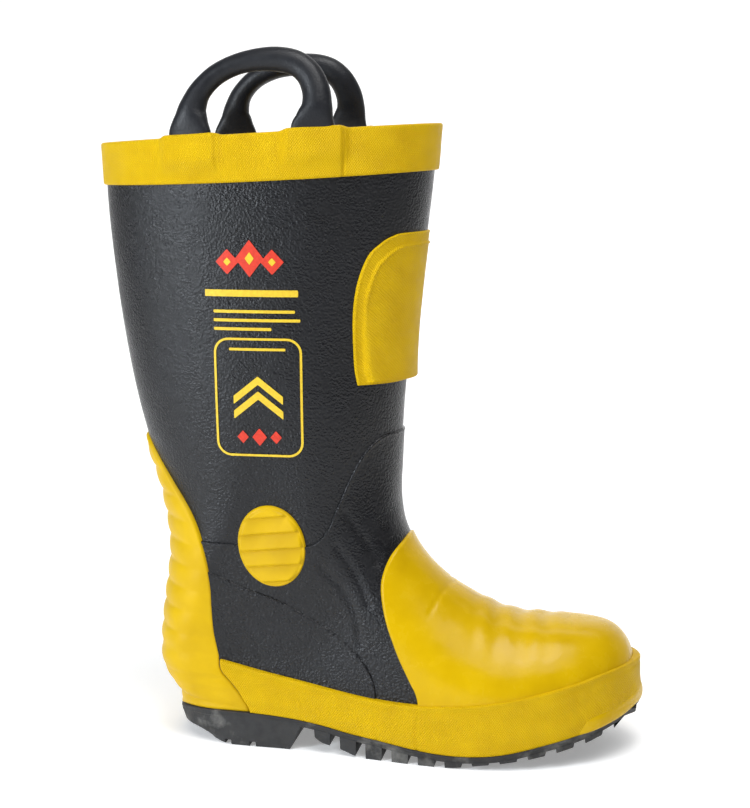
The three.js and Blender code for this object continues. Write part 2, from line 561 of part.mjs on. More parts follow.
// One carrying handle: a tapered arch with a round knuckle at each root.
function handleSolid(side) {
  const rings = [];
  const steps = 16;
  const sides = 10;
  const line = new THREE.CatmullRomCurve3(HANDLE_LINE.map(([x, z, r]) => new THREE.Vector3(x, z, r)), false, "catmullrom", 0.5);
  const top = 420;
  for (let k = 0; k <= steps; k++) {
    const p = line.getPoint(k / steps);
    const along = line.getTangent(k / steps);
    const length = Math.hypot(along.x, along.y);
    const normal = [-along.y / length, along.x / length];
    const lean = HANDLE.lean * smooth((p.y - 388) / (top - 388));
    const depth = HANDLE_DEPTH - 0.4 * smooth((400 - p.y) / 12);
    const ring = [];
    for (let a = 0; a < sides; a++) {
      const turn = (2 * Math.PI * a) / sides;
      const across = p.z * Math.cos(turn);
      ring.push(new THREE.Vector3(p.x + normal[0] * across,
        side * (HANDLE.planeY - lean + depth * Math.sin(turn)), p.y + normal[1] * across));
    }
    rings.push(side < 0 ? ring : ring.reverse());
  }
  const vertices = rings.flat();
  const faces = [];
  const id = (i, j) => i * sides + (j % sides);
  for (let i = 0; i < steps; i++)
    for (let j = 0; j < sides; j++)
      faces.push(id(i, j), id(i, j + 1), id(i + 1, j), id(i, j + 1), id(i + 1, j + 1), id(i + 1, j));
  for (let j = 1; j < sides - 1; j++)
    faces.push(id(0, 0), id(0, j + 1), id(0, j), id(steps, 0), id(steps, j), id(steps, j + 1));
  const geometry = new THREE.BufferGeometry().setFromPoints(vertices).setIndex(faces);
  let arch = solid(geometry);
  if (arch.volume() < 0) throw new Error("the handle's faces point inwards");
  for (const x of HANDLE.roots) arch = arch.add(axisCylinder(x, side, HANDLE.knuckle, 2 * TAB.halfWidth));
  return arch;
}

function makeHandles() {
  for (const [side, name] of [[-1, "lateral"], [1, "medial"]]) {
    add("handle_" + name, "blackRubber", handleSolid(side));
    add("handle_tab_rear_" + name, "blackRubber", tabSolid(HANDLE.roots[0], side));
    add("handle_tab_front_" + name, "blackRubber", tabSolid(HANDLE.roots[1], side));
  }
}

makeUpper();
makeMiddleLayer();
makeInside();
makeMidsole();
makeOutsole();
makeFoxing();
makeToeGuard();
makeHeelGuard();
makeAnkleDiscs();
makeShinGuard();
makeRimBand();
makeHandles();

const size = new THREE.Box3().setFromObject(boot, true);
boot.position.set(-(size.min.x + size.max.x) / 2, -(size.min.y + size.max.y) / 2, -size.min.z);

export default boot;
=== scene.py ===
"""A firefighter's rubber boot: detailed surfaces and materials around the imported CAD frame.

Sizes are millimetres in the boot's design frame (x = 0 near the back of the heel, z = 0 on the
ground, -Y the outer side), and are turned into the row frame's metres when a mesh is made.
"""

import math

import bmesh
import bpy
import numpy as np
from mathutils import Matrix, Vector
from mathutils.bvhtree import BVHTree


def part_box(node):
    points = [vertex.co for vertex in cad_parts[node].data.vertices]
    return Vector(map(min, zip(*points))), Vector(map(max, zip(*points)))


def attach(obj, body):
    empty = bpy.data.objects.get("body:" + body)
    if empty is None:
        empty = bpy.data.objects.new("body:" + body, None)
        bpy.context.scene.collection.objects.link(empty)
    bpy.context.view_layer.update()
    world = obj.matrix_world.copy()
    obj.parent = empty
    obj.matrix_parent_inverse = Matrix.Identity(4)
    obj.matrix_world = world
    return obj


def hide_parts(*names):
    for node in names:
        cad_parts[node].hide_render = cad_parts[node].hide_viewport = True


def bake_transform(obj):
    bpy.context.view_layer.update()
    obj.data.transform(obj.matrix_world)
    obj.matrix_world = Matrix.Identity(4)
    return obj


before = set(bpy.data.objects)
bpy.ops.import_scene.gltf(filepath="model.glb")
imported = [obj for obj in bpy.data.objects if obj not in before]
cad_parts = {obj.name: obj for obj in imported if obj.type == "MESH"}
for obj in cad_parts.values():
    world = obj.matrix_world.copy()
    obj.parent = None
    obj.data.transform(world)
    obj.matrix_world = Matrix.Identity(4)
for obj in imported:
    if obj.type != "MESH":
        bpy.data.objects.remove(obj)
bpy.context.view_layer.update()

MM = 0.001
OUTSOLE_BACK_X = 12.1  # design x of the outsole's rearmost point
SHIFT_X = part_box("outsole")[0].x / MM - OUTSOLE_BACK_X
SOLE_OUT = 4.4  # outsole edge beyond the feather line
LINING_OFFSET = -7.2
GUARD_EDGE = 1.1  # radius of a rubber overlay's rounded edge
SUNK = -0.4  # an overlay's edge ends this far under the black rubber
SHARP_ANGLE = math.radians(35)
SIDES = ((-1, "lateral"), (1, "medial"))
EVERYWHERE = 10.0  # a field value well inside a region
FAR = 500.0  # beyond the boot in any direction

# Stations from the toe tip over the foot and up the leg: front point x, z; back or sole point
# x, z; half-widths near them; shares of the section that round off; how square the rounding is;
# sideways shift of the middle.
STATIONS = np.array([
    [300, 46, 300, 36, 0, 0, 0.6, 0.3, 2.3, 2.6, 8.5],
    [298.4, 55.5, 298.4, 34.8, 10.5, 11.2, 0.6, 0.26, 2.3, 3, 8.5],
    [293.2, 67.5, 293.2, 32.6, 20.4, 21.2, 0.6, 0.18, 2.3, 3.8, 8.1],
    [283.6, 75.6, 283.6, 29.3, 30.8, 31.6, 0.63, 0.14, 2.3, 4.5, 7],
    [268, 79, 268, 24.2, 39.8, 40.5, 0.66, 0.11, 2.3, 5, 4.8],
    [248, 80.4, 248, 19.3, 46.2, 46.8, 0.7, 0.1, 2.2, 5, 2.4],
    [225, 82.8, 225, 14.2, 49.8, 50.5, 0.75, 0.09, 2.1, 5, 0],
    [201, 92, 200, 12.3, 48, 49.5, 0.7, 0.08, 2, 5, -2],
    [182, 104, 174, 13.8, 44.5, 46, 0.62, 0.07, 2, 5, -3],
    [167, 120, 148, 17, 41, 41, 0.55, 0.065, 2, 5, -3.5],
    [158.5, 136.5, 120, 21.5, 39, 36.5, 0.5, 0.06, 2, 5, -3.3],
    [155.3, 151, 92, 24.5, 39, 33.8, 0.46, 0.055, 2, 5, -2.2],
    [154.6, 164, 62, 26, 40.6, 33, 0.42, 0.055, 2, 5, -1],
    [154.9, 175, 32, 25.6, 42.2, 32.5, 0.4, 0.09, 2, 4.2, -0.2],
    [155.3, 185, 10.8, 36, 43.1, 33, 0.39, 0.16, 2, 2.5, 0],
    [155.8, 195, 5.2, 55, 44.1, 34.2, 0.4, 0.19, 2, 2.1, 0],
    [156.4, 205.5, 7.6, 84, 45.3, 36.5, 0.41, 0.25, 2, 2, 0],
    [157.2, 218, 11.3, 120, 46.8, 41.2, 0.43, 0.34, 2, 2, 0],
    [158.9, 236, 6.5, 155, 48.6, 45.6, 0.45, 0.41, 2, 2, 0],
    [162, 259, -5, 190, 50.6, 49.6, 0.48, 0.47, 2, 2, 0],
    [166.5, 289, -14.3, 229, 52.4, 52.2, 0.5, 0.5, 2.05, 2.05, 0],
    [171, 322, -22, 277, 53.8, 53.8, 0.5, 0.5, 2.1, 2.1, 0],
    [174.8, 354, -27.2, 328, 55.1, 55.1, 0.5, 0.5, 2.1, 2.1, 0],
    [177.5, 381, -29, 369, 56, 56, 0.5, 0.5, 2.1, 2.1, 0],
])
ROWS = len(STATIONS) - 1
RIM_FRONT, RIM_BACK = STATIONS[-1, 0:2], STATIONS[-1, 2:4]
RIM_RUN, RIM_FALL = RIM_FRONT - RIM_BACK
RIM_UP = np.array([-RIM_FALL, 0.0, RIM_RUN]) / math.hypot(RIM_FALL, RIM_RUN)

# Feather line: where the upper meets the sole, seen from above, starting at the heel
FEATHER = [
    (16.5, 0), (22.3, -18.4), (37.6, -30.1), (62, -33.4), (92, -35.4), (120, -39.6), (150, -45.2),
    (178, -49.6), (203, -51.6), (228, -49.9), (252, -43.2), (272, -33.2), (286, -20.5), (295.5, -6),
    (300, 8.5), (296.5, 22), (288, 33), (275, 41.5), (254, 48.2), (230, 50.6), (205, 48.6),
    (178, 43.6), (150, 37.2), (120, 33.0), (92, 31.4), (62, 31.8), (37.6, 30.1), (22.3, 18.4),
]
# Side-view lines, as (x, z)
SOLE_TOP = [
    (4, 12.5), (14, 16), (24, 20), (36, 21.5), (66, 21.5), (92, 20), (112, 17.8), (131, 14.6),
    (151, 12.2), (170, 9.6), (188, 8), (206, 8), (225, 9.9), (248, 14.9), (270, 20.2), (288, 25.8),
    (299, 30.6), (314, 36),
]
FOREPART_GROUND = [
    (104, 13), (112, 6.8), (122, 4.6), (138, 0), (150, 0), (190, 0), (206, 2), (228, 4.8),
    (250, 8.6), (272, 14), (290, 20), (302, 25.5), (316, 33),
]
FOXING_TOP = [
    (40, 55.5), (50, 54), (74, 48.8), (100, 44.2), (126, 40), (150, 37.3), (173, 37), (194, 38.6),
    (212, 40.6), (241, 45.8), (263, 51), (284, 56.2), (320, 59.5),
]
FOXING_SEAMS = [149.0, 174.0]  # x of the lapped joints on the outer side
HEEL_SEAM = [(47, 56), (47.8, 47.6), (55, 39.2), (60.8, 32.2), (65.7, 24), (67.5, 14), (68, 0)]
TOE_GUARD_EDGE = [
    (174, 26), (172.8, 40.7), (167.9, 50.8), (161.6, 63), (156.8, 74), (153, 84), (150.1, 95.1),
    (148.7, 106.3), (150, 115), (153.4, 123.6), (159, 130.9), (164.5, 137.5),
]
HEEL_GUARD_EDGE = [
    (-4.5, 191), (-1, 187.1), (7.6, 175.4), (16.4, 164), (24.6, 153.8), (30.8, 144.5), (36, 133),
    (40.5, 117.4), (42.6, 100), (42.9, 87), (43.9, 72.4), (45.8, 62), (47, 56),
]
ANKLE_SEAM = [
    (-60, 131), (38.1, 129.3), (62.5, 128), (84, 127.6), (106.2, 130.5), (116.1, 139.2),
    (122.1, 153.4), (129.7, 171.5), (137.5, 186.2), (147, 195.5), (160, 197), (220, 197.5),
]
QUARTER_EDGE = [
    (30, 114), (43.8, 109.6), (63.1, 101.6), (85.6, 94.1), (107.4, 83), (126.1, 71.7),
    (138.5, 60.2), (145.4, 49), (147.4, 37.6), (147.6, 24),
]
ANKLE_DISC = {"x": 82.0, "z": 128.6, "half_width": 21.4, "half_height": 25.7, "tilt": 0.14}
SHIN = {"half_width": 41.1, "low": 228.0, "high": 318.5}
TABS = {"roots": (39.0, 112.0), "half_width": 13.0, "height": 20.0}
HINGE = {"y": 54.0, "above_rim": 10.5}

# Carry handle: centre line x, z and half-thickness in its plane
HANDLE_LINE = [
    (38.5, 363, 12.5), (38.5, 369, 13.2), (38.7, 377, 13.0), (39.2, 384.5, 10.2), (40.2, 392, 8.0),
    (44.6, 401.6, 6.5), (54.3, 410.8, 6.1), (69, 417, 6.2), (86, 419, 7.0), (99.5, 416.8, 7.4),
    (108, 410.6, 7.7), (112.8, 401.5, 8.2), (114, 392.8, 8.9), (113, 385.4, 10.8), (112.2, 380, 12.8),
    (112, 373, 13.2), (112, 367, 12.5),
]


# ---- curves and fields
def catmull(table, position):
    """Rows of a table at fractional positions."""
    table = np.asarray(table, float)
    last = len(table) - 1
    i = np.clip(np.floor(position).astype(int), 0, last - 1)
    f = (position - i)[..., None]
    padded = np.vstack([table[:1], table, table[-1:]])
    a, b, c, d = padded[i], padded[i + 1], padded[i + 2], padded[i + 3]
    cubic = (3 * b - a - 3 * c + d) * f**3
    return 0.5 * (2 * b + (c - a) * f + (2 * a - 5 * b + 4 * c - d) * f**2 + cubic)


def smooth_line(points, per_span=8):
    return catmull(points, np.linspace(0, len(points) - 1, (len(points) - 1) * per_span + 1))


def line_height(points):
    """z of a side-view line as a function of x."""
    line = smooth_line(points)
    return lambda x: np.interp(x, line[:, 0], line[:, 1])


def smoothstep(value, low=0.0, high=1.0):
    t = np.clip((value - low) / (high - low), 0, 1)
    return t * t * (3 - 2 * t)


def inside_distance(px, pz, polygon):
    """Distance to a closed polygon's edge, positive inside it."""
    polygon = np.asarray(polygon, float)
    nearest = np.full(px.shape, 1e12)
    inside = np.zeros(px.shape, bool)
    for (ax, az), (bx, bz) in zip(polygon, np.roll(polygon, -1, axis=0)):
        ex, ez = bx - ax, bz - az
        along = np.clip(((px - ax) * ex + (pz - az) * ez) / (ex * ex + ez * ez + 1e-12), 0, 1)
        nearest = np.minimum(nearest, (px - ax - along * ex) ** 2 + (pz - az - along * ez) ** 2)
        if bz != az:
            crosses = ((az > pz) != (bz > pz)) & (px < ex * (pz - az) / ez + ax)
            inside ^= crosses
    return np.where(inside, 1, -1) * np.sqrt(nearest)


def side_field(polygon):
    return lambda points: inside_distance(points[..., 0], points[..., 2], polygon)


def whole_grid(points):
    return np.full(points.shape[:2], EVERYWHERE)


def unit(vectors):
    return vectors / (np.linalg.norm(vectors, axis=-1, keepdims=True) + 1e-12)


def bell(value, width):
    """1 at zero, fading to 0 on both sides."""
    return np.exp(-((value / width) ** 2))


def region(line, *corners):
    """A closed outline: a smoothed side-view line and straight corners."""
    return np.vstack([smooth_line(line), corners])


def unevenness(points, size, amount):
    """Slow waves, as in hand-laid rubber."""
    x, y, z = np.moveaxis(points, -1, 0) / size
    return amount * (np.sin(x + 1.7 * np.sin(z)) + np.sin(1.3 * z + y) + np.sin(0.9 * y - 0.7 * x)) / 3


def rounded_edge(field, thickness, radius=GUARD_EDGE):
    """Thickness of an overlay that rounds off to nothing at its edge."""
    share = np.clip(field / radius, 0, 1)
    return SUNK + (thickness - SUNK) * np.sqrt(1 - (1 - share) ** 2)


# ---- grids of surface points
class Grid:
    """Rows and columns of points with normals, (row, angle) values and UVs in metres."""

    def __init__(self, points, where, closed):
        self.points = points
        self.where = where
        self.flipped = False
        along = np.gradient(points, axis=0)
        across = np.gradient(points, axis=1)
        if closed:
            seam = points[:, 1] - points[:, -2]
            across[:, 0] = across[:, -1] = seam / 2
        self.normals = unit(np.cross(along, across))
        step_u = np.linalg.norm(np.diff(points, axis=1), axis=-1)
        step_v = np.linalg.norm(np.diff(points, axis=0), axis=-1)
        step_u[:] = step_u.mean(axis=0)  # the same u in every row, so that a weave isn't sheared
        u = np.pad(np.cumsum(step_u, axis=1), ((0, 0), (1, 0)))
        v = np.pad(np.cumsum(step_v, axis=0), ((1, 0), (0, 0)))
        self.uv = np.stack([u, v], axis=-1) * MM

    def turn_over(self):
        self.normals = -self.normals
        self.flipped = True


def round_off(u, power):
    return (1 - (1 - np.clip(u, 0, 1)) ** power) ** (1 / power)


def surface(rows, angles):
    """Points of the black rubber's outer face. rows and angles broadcast against each other."""
    rows, angles = np.broadcast_arrays(rows, angles)
    fx, fz, bx, bz, wf, wb, rf, rb, pf, pb, yc = np.moveaxis(catmull(STATIONS, rows), -1, 0)
    t = (1 - np.cos(angles)) / 2
    mix = smoothstep(t, 0.2, 0.8)
    front = np.maximum(0, wf) * round_off(t / rf, pf)
    back = np.maximum(0, wb) * round_off((1 - t) / rb, pb)
    half = (front * (1 - mix) + back * mix) * np.sign(np.sin(angles))
    return np.stack([fx + (bx - fx) * t, yc - half, fz + (bz - fz) * t], axis=-1)


def row_samples(first, last, step):
    """Row values between two stations whose points are about a step apart."""
    samples = []
    for i in range(first, last):
        spans = np.abs(STATIONS[i + 1, :4] - STATIONS[i, :4])
        count = max(3, math.ceil(max(math.hypot(*spans[:2]), math.hypot(*spans[2:])) / step))
        samples.extend(i + np.arange(count) / count)
    return np.array([*samples, float(last)])


def boot_grid(first=0, last=ROWS, step=2.0, columns=288):
    rows = row_samples(first, last, step)
    angles = np.linspace(0, 2 * math.pi, columns + 1)
    where = np.stack(np.meshgrid(rows, angles, indexing="ij"), axis=-1)
    grid = Grid(surface(rows[:, None], angles[None, :]), where, True)
    if first == 0:
        grid.normals[0] = (1, 0, 0)
    return grid


BODY_GRID = boot_grid()
WRAP_COUNT = 560  # upright lines all round the foot
WRAP_STEP = 1.3
WRAP_REACH = 120.0
WRAP_TUCK = 3.5  # how far the lowest edge of a wrapped piece turns in


def grid_quads(rows, columns):
    number = np.arange(rows * columns).reshape(rows, columns)
    quads = np.stack([number[:-1, :-1], number[1:, :-1], number[1:, 1:], number[:-1, 1:]], -1)
    return quads.reshape(-1, 4)


# The plain boot surface, for finding points on it
BOOT_TREE = BVHTree.FromPolygons(BODY_GRID.points.reshape(-1, 3).tolist(),
                                 grid_quads(*BODY_GRID.points.shape[:2]).tolist())


def feather_line(count, offset=0.0, start=0):
    """The feather line moved outwards, from one of its points: points and outward normals."""
    turned = FEATHER[start:] + FEATHER[:start]
    loop = np.array(turned[-1:] + turned + turned[:2], float)
    position = 1 + np.linspace(0, len(FEATHER), count + 1)
    line = catmull(loop, position)
    tangent = catmull(loop, position + 0.02) - catmull(loop, position - 0.02)
    normal = unit(np.stack([tangent[:, 1], -tangent[:, 0]], axis=-1))
    return line + normal * offset, normal


def wrap_grid(skipped, top, start=0):
    """Upright lines of points round the foot, from the sole's top edge up to a height."""
    line, normal = feather_line(WRAP_COUNT, start=start)
    first = int(WRAP_COUNT * skipped)
    kept = slice(first, WRAP_COUNT - first + 1)
    line, normal = line[kept], normal[kept]
    low = line_height(SOLE_TOP)(line[:, 0]) + 0.3
    levels = int((top - low.min()) / WRAP_STEP)
    share = np.concatenate([[0.0], np.linspace(0, 1, levels)])
    points = np.zeros((len(share), len(line), 3))
    for j, ((x, y), (nx, ny)) in enumerate(zip(line, normal)):
        for k, part in enumerate(share):
            z = low[j] + (top - low[j]) * part
            outside = Vector((x + nx * WRAP_REACH, y + ny * WRAP_REACH, z))
            hit = BOOT_TREE.ray_cast(outside, Vector((-nx, -ny, 0)), WRAP_REACH + 2)
            beyond = max(0.0, WRAP_REACH - hit[3]) if hit[0] else 0.0
            beyond = beyond if k else -WRAP_TUCK
            points[k, j] = (x + nx * beyond, y + ny * beyond, z)
    for _ in range(3):
        points[2:-1] = (points[1:-2] + 2 * points[2:-1] + points[3:]) / 4
    where = np.stack(np.meshgrid(share, np.arange(len(line)), indexing="ij"), axis=-1)
    grid = Grid(points, where, False)
    outward = np.concatenate([normal, np.zeros((len(normal), 1))], axis=-1)
    if np.sum(grid.normals[5] * outward) < 0:
        grid.turn_over()
    grid.normals[:2] = outward
    return grid


# ---- meshes
def to_row_frame(points):
    return (np.asarray(points, float) + (SHIFT_X, 0, 0)) * MM


def add_object(name, data):
    made = bpy.data.objects.new(name, data)
    bpy.context.scene.collection.objects.link(made)
    return made


def make_mesh(name, vertices, faces, finish, uv=None, weld=False):
    mesh = bpy.data.meshes.new(name)
    mesh.from_pydata(to_row_frame(vertices).tolist(), [], faces)
    if uv is not None:
        layer = mesh.uv_layers.new(name="metres")
        index = np.zeros(len(mesh.loops), int)
        mesh.loops.foreach_get("vertex_index", index)
        layer.data.foreach_set("uv", np.asarray(uv)[index].ravel())
    if weld:
        work = bmesh.new()
        work.from_mesh(mesh)
        bmesh.ops.remove_doubles(work, verts=work.verts, dist=1e-6)
        work.to_mesh(mesh)
        work.free()
    mesh.materials.append(finish)
    mesh.shade_smooth()
    return add_object(name, mesh)


def prism_faces(count, levels):
    """Faces of a stack of rings with closed ends."""
    faces = []
    for k in range(levels - 1):
        for a in range(count):
            b = (a + 1) % count
            faces.append([k * count + a, k * count + b, (k + 1) * count + b, (k + 1) * count + a])
    faces.append(list(range(count))[::-1])
    faces.append([(levels - 1) * count + a for a in range(count)])
    return faces


def turned_over(faces):
    return [face[::-1] for face in faces]


def place(piece, slot, *nodes, body="boot"):
    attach(piece, body)
    if nodes:
        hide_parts(*nodes)
    return piece


def split_faces(faces, values, data, level, keep_below):
    """Cuts the faces along a level of a field, and drops what is below it if asked."""
    made = {}
    result = []

    def crossing(a, b):
        key = (min(a, b), max(a, b))
        if key not in made:
            share = (level - values[a]) / (values[b] - values[a])
            data.append(data[a] + (data[b] - data[a]) * share)
            values.append(level)
            made[key] = len(values) - 1
        return made[key]

    for face in faces:
        here = [values[v] for v in face]
        if min(here) >= level:
            result.append(face)
            continue
        if max(here) <= level:
            if keep_below:
                result.append(face)
            continue
        above, below = [], []
        for a, b in zip(face, face[1:] + face[:1]):
            (above if values[a] >= level else below).append(a)
            if (values[a] < level) != (values[b] < level) and level not in (values[a], values[b]):
                middle = crossing(a, b)
                above.append(middle)
                below.append(middle)
            elif values[b] == level and values[a] < level:
                below.append(b)
            elif values[a] == level and values[b] < level:
                below.append(a)
        result.extend(part for part in [above] + [below] * keep_below if len(part) > 2)
    return result


def patch(name, grid, field, height, finish, levels=(0.12, 0.45, 1.1), weld=False, flip=False):
    """The part of a grid where a field is positive, raised by a height, with clean edges."""
    values = field(grid.points)
    quads = grid_quads(*values.shape)
    corner = values.ravel()[quads]
    near = (corner.max(axis=1) > 0) & (corner.min(axis=1) < max(levels))
    whole = corner.min(axis=1) >= max(levels)
    packed = np.concatenate([grid.points, grid.normals, grid.uv, grid.where], -1).reshape(-1, 10)
    data = list(packed)
    numbers = list(values.ravel())
    edge_faces = split_faces(quads[near].tolist(), numbers, data, 0.0, False)
    for level in levels:
        edge_faces = split_faces(edge_faces, numbers, data, level, True)
    faces = quads[whole].tolist() + edge_faces
    used = np.unique(np.concatenate([np.array(face) for face in faces]))
    order = np.full(len(data), -1)
    order[used] = np.arange(len(used))
    faces = [[int(order[v]) for v in face] for face in faces]
    if grid.flipped != flip:
        faces = turned_over(faces)
    table = np.array(data)[used]
    points, normals, uv, where = table[:, :3], table[:, 3:6], table[:, 6:8], table[:, 8:]
    raised = height(points, np.array(numbers)[used], where)
    return make_mesh(name, points + normals * raised[:, None], faces, finish, uv, weld)


# ---- materials
class Shader:
    """A short way of wiring a Principled material."""

    def __init__(self, name, colour, roughness, **sockets):
        self.material = bpy.data.materials.new(name)
        self.material.use_nodes = True
        self.tree = self.material.node_tree
        self.bsdf = self.tree.nodes["Principled BSDF"]
        self.bsdf.inputs["Base Color"].default_value = (*colour, 1)
        self.bsdf.inputs["Roughness"].default_value = roughness
        for socket, value in sockets.items():
            self.bsdf.inputs[socket.replace("_", " ")].default_value = value
        self.coordinates = self.tree.nodes.new("ShaderNodeTexCoord")
        self.height = None

    def node(self, kind, inputs=None, **settings):
        made = self.tree.nodes.new(kind)
        for key, value in settings.items():
            setattr(made, key, value)
        for key, value in (inputs or {}).items():
            if isinstance(value, bpy.types.NodeSocket):
                self.tree.links.new(value, made.inputs[key])
            else:
                made.inputs[key].default_value = value
        return made

    def math(self, operation, a, b=0.0):
        return self.node("ShaderNodeMath", {0: a, 1: b}, operation=operation).outputs[0]

    def noise(self, size, detail=4.0, roughness=0.5, stretch=(1, 1, 1)):
        """Noise whose features are about size metres across."""
        mapping = self.node("ShaderNodeMapping", {"Vector": self.coordinates.outputs["Object"],
                                                  "Scale": stretch})
        inputs = {"Vector": mapping.outputs[0], "Scale": 1 / size, "Detail": detail, "Roughness": roughness}
        return self.node("ShaderNodeTexNoise", inputs).outputs["Fac"]

    def cells(self, size):
        inputs = {"Vector": self.coordinates.outputs["Object"], "Scale": 1 / size}
        return self.node("ShaderNodeTexVoronoi", inputs).outputs["Distance"]

    def ramp(self, value, low, high, low_out=0.0, high_out=1.0):
        inputs = {"Value": value, "From Min": low, "From Max": high, "To Min": low_out, "To Max": high_out}
        return self.node("ShaderNodeMapRange", inputs).outputs[0]

    def twill(self, pitch, lean=1.0):
        """Raised diamonds of a woven cloth pressed into the rubber, from UVs in metres."""
        parts = self.node("ShaderNodeSeparateXYZ", {0: self.coordinates.outputs["UV"]})
        turn = 2 * math.pi / pitch
        slanted = self.math("MULTIPLY", parts.outputs[1], lean)
        first = self.math("SINE", self.math("MULTIPLY", self.math("ADD", parts.outputs[0], slanted), turn))
        second = self.math("SUBTRACT", parts.outputs[0], slanted)
        second = self.math("SINE", self.math("MULTIPLY", second, turn))
        return self.math("MULTIPLY", self.math("ADD", first, second), 0.25)

    def bump(self, value, distance, strength=1.0):
        inputs = {"Height": value, "Distance": distance, "Strength": strength}
        if self.height is not None:
            inputs["Normal"] = self.height
        self.height = self.node("ShaderNodeBump", inputs).outputs[0]
        self.tree.links.new(self.height, self.bsdf.inputs["Normal"])

    def tint(self, value, low, high):
        """Base colour that runs between two colours."""
        inputs = {"Factor": value, "A": (*low, 1), "B": (*high, 1)}
        mix = self.node("ShaderNodeMix", inputs, data_type="RGBA")
        self.tree.links.new(mix.outputs["Result"], self.bsdf.inputs["Base Color"])

    def link_roughness(self, value):
        self.tree.links.new(value, self.bsdf.inputs["Roughness"])


def material(name, deep, bright, mottle, bumps, roughness, gloss=None, contrast=(0.3, 0.7), flat=None,
             **sockets):
    """A Principled material. A noise is given as (size in metres, detail, roughness, stretch).

    mottle is the noise between the deep and bright colours, contrast the span of it that is used,
    and flat the one colour that stands for both. gloss is (noise, lowest and highest roughness).
    A bump is (Shader function, its arguments, distance in metres, strength).
    """
    m = Shader(name, flat or bright, roughness, **sockets)
    m.tint(m.ramp(m.noise(*mottle), *contrast), deep, bright)
    if gloss:
        m.link_roughness(m.ramp(m.noise(*gloss[0]), 0.3, 0.7, *gloss[1:]))
    for function, arguments, distance, strength in bumps:
        m.bump(function(m, *arguments), distance, strength)
    return m.material


YELLOW_DEEP = (0.555, 0.342, 0.001)
YELLOW_BRIGHT = (0.635, 0.402, 0.001)
TWILL_DEEP = (0.59, 0.364, 0.001)
TWILL_BRIGHT = (0.672, 0.428, 0.001)


def yellow_smooth(name, roughness):
    """Smooth yellow rubber with faint mottling and a soft shine."""
    bumps = [(Shader.noise, (0.0012, 4), 0.00006, 0.6), (Shader.noise, (0.012, 3), 0.0005, 0.5)]
    return material(name, YELLOW_DEEP, YELLOW_BRIGHT, mottle=(0.02, 6), bumps=bumps, roughness=roughness,
                    gloss=((0.01, 5), roughness - 0.05, roughness + 0.1), Specular_IOR_Level=0.17)


def felt(name, deep, bright):
    return material(name, deep, bright, mottle=(0.003, 10, 0.7), contrast=(0.35, 0.65), roughness=1.0,
                    bumps=[(Shader.noise, (0.0008, 8, 0.7), 0.0005, 0.9)], Sheen_Weight=0.4,
                    Sheen_Roughness=0.7)


def board(name, deep, bright):
    return material(name, deep, bright, mottle=(0.002, 10, 0.7), roughness=0.85,
                    bumps=[(Shader.noise, (0.0007, 6, 0.6), 0.0002, 0.7)])


def ink(name, deep, bright):
    """Screen print on rubber: slightly uneven, thin, a little worn."""
    return material(name, deep, bright, mottle=(0.002, 8, 0.7), roughness=0.5,
                    bumps=[(Shader.noise, (0.0016, 3, 0.6), 0.0001, 0.6)])


# Moulded black rubber with a fine leather-like grain
BLACK = material(
    "black_rubber", (0.004, 0.004, 0.0045), (0.008, 0.0085, 0.011), flat=(0.012, 0.012, 0.014),
    mottle=(0.03, 5), contrast=(0, 1), roughness=0.3, gloss=((0.012, 6), 0.2, 0.34),
    bumps=[(Shader.noise, (0.0016, 3, 0.7), 0.0004, 1.0), (Shader.cells, (0.0015,), 0.0003, 1.0),
           (Shader.noise, (0.02, 3), 0.0004, 0.5)], Specular_IOR_Level=0.35)
HANDLE_RUBBER = material(
    "handle_rubber", (0.006, 0.0065, 0.008), (0.014, 0.015, 0.019), flat=(0.02, 0.021, 0.024),
    mottle=(0.01, 5), contrast=(0, 1), roughness=0.4, gloss=((0.006, 5), 0.34, 0.5),
    bumps=[(Shader.noise, (0.0011, 4), 0.0002, 0.9), (Shader.noise, (0.008, 2), 0.0004, 0.4)],
    Specular_IOR_Level=0.3)
YELLOW = yellow_smooth("yellow_smooth", 0.22)
YELLOW_RIBBED = yellow_smooth("yellow_ribbed", 0.42)
# Yellow rubber with the imprint of the cloth it was pressed against
YELLOW_TWILL = material(
    "yellow_twill", TWILL_DEEP, TWILL_BRIGHT, flat=YELLOW_BRIGHT, mottle=(0.015, 6), roughness=0.45,
    gloss=((0.008, 5), 0.4, 0.56), Specular_IOR_Level=0.12,
    bumps=[(Shader.twill, (0.0014, 0.7), 0.00045, 1.0), (Shader.noise, (0.01, 3), 0.0005, 0.5)])
SOLE = material(
    "sole_rubber", (0.016, 0.016, 0.017), (0.12, 0.118, 0.112), flat=(0.02, 0.02, 0.021),
    mottle=(0.02, 8, 0.6), contrast=(0.54, 0.70), roughness=0.62, gloss=((0.006, 5), 0.5, 0.75),
    bumps=[(Shader.noise, (0.001, 5), 0.00015, 0.8), (Shader.noise, (0.006, 3), 0.0005, 0.5)])
LINING_CLOTH = material(
    "lining_cloth", (0.30, 0.28, 0.24), (0.52, 0.50, 0.44), mottle=(0.004, 8), roughness=0.95,
    bumps=[(Shader.twill, (0.0016, 1.0), 0.0003, 0.9), (Shader.noise, (0.001, 5), 0.0002, 0.6)],
    Sheen_Weight=0.25, Sheen_Roughness=0.6)
STEEL = material(
    "steel", (0.36, 0.36, 0.38), (0.56, 0.56, 0.58), flat=(0.5, 0.5, 0.52), mottle=(0.01, 6),
    contrast=(0, 1), roughness=0.35, gloss=((0.002, 6, 0.6, (1, 8, 1)), 0.25, 0.5),
    bumps=[(Shader.noise, (0.001, 4, 0.5, (1, 10, 1)), 0.00003, 0.5)], Metallic=1.0)


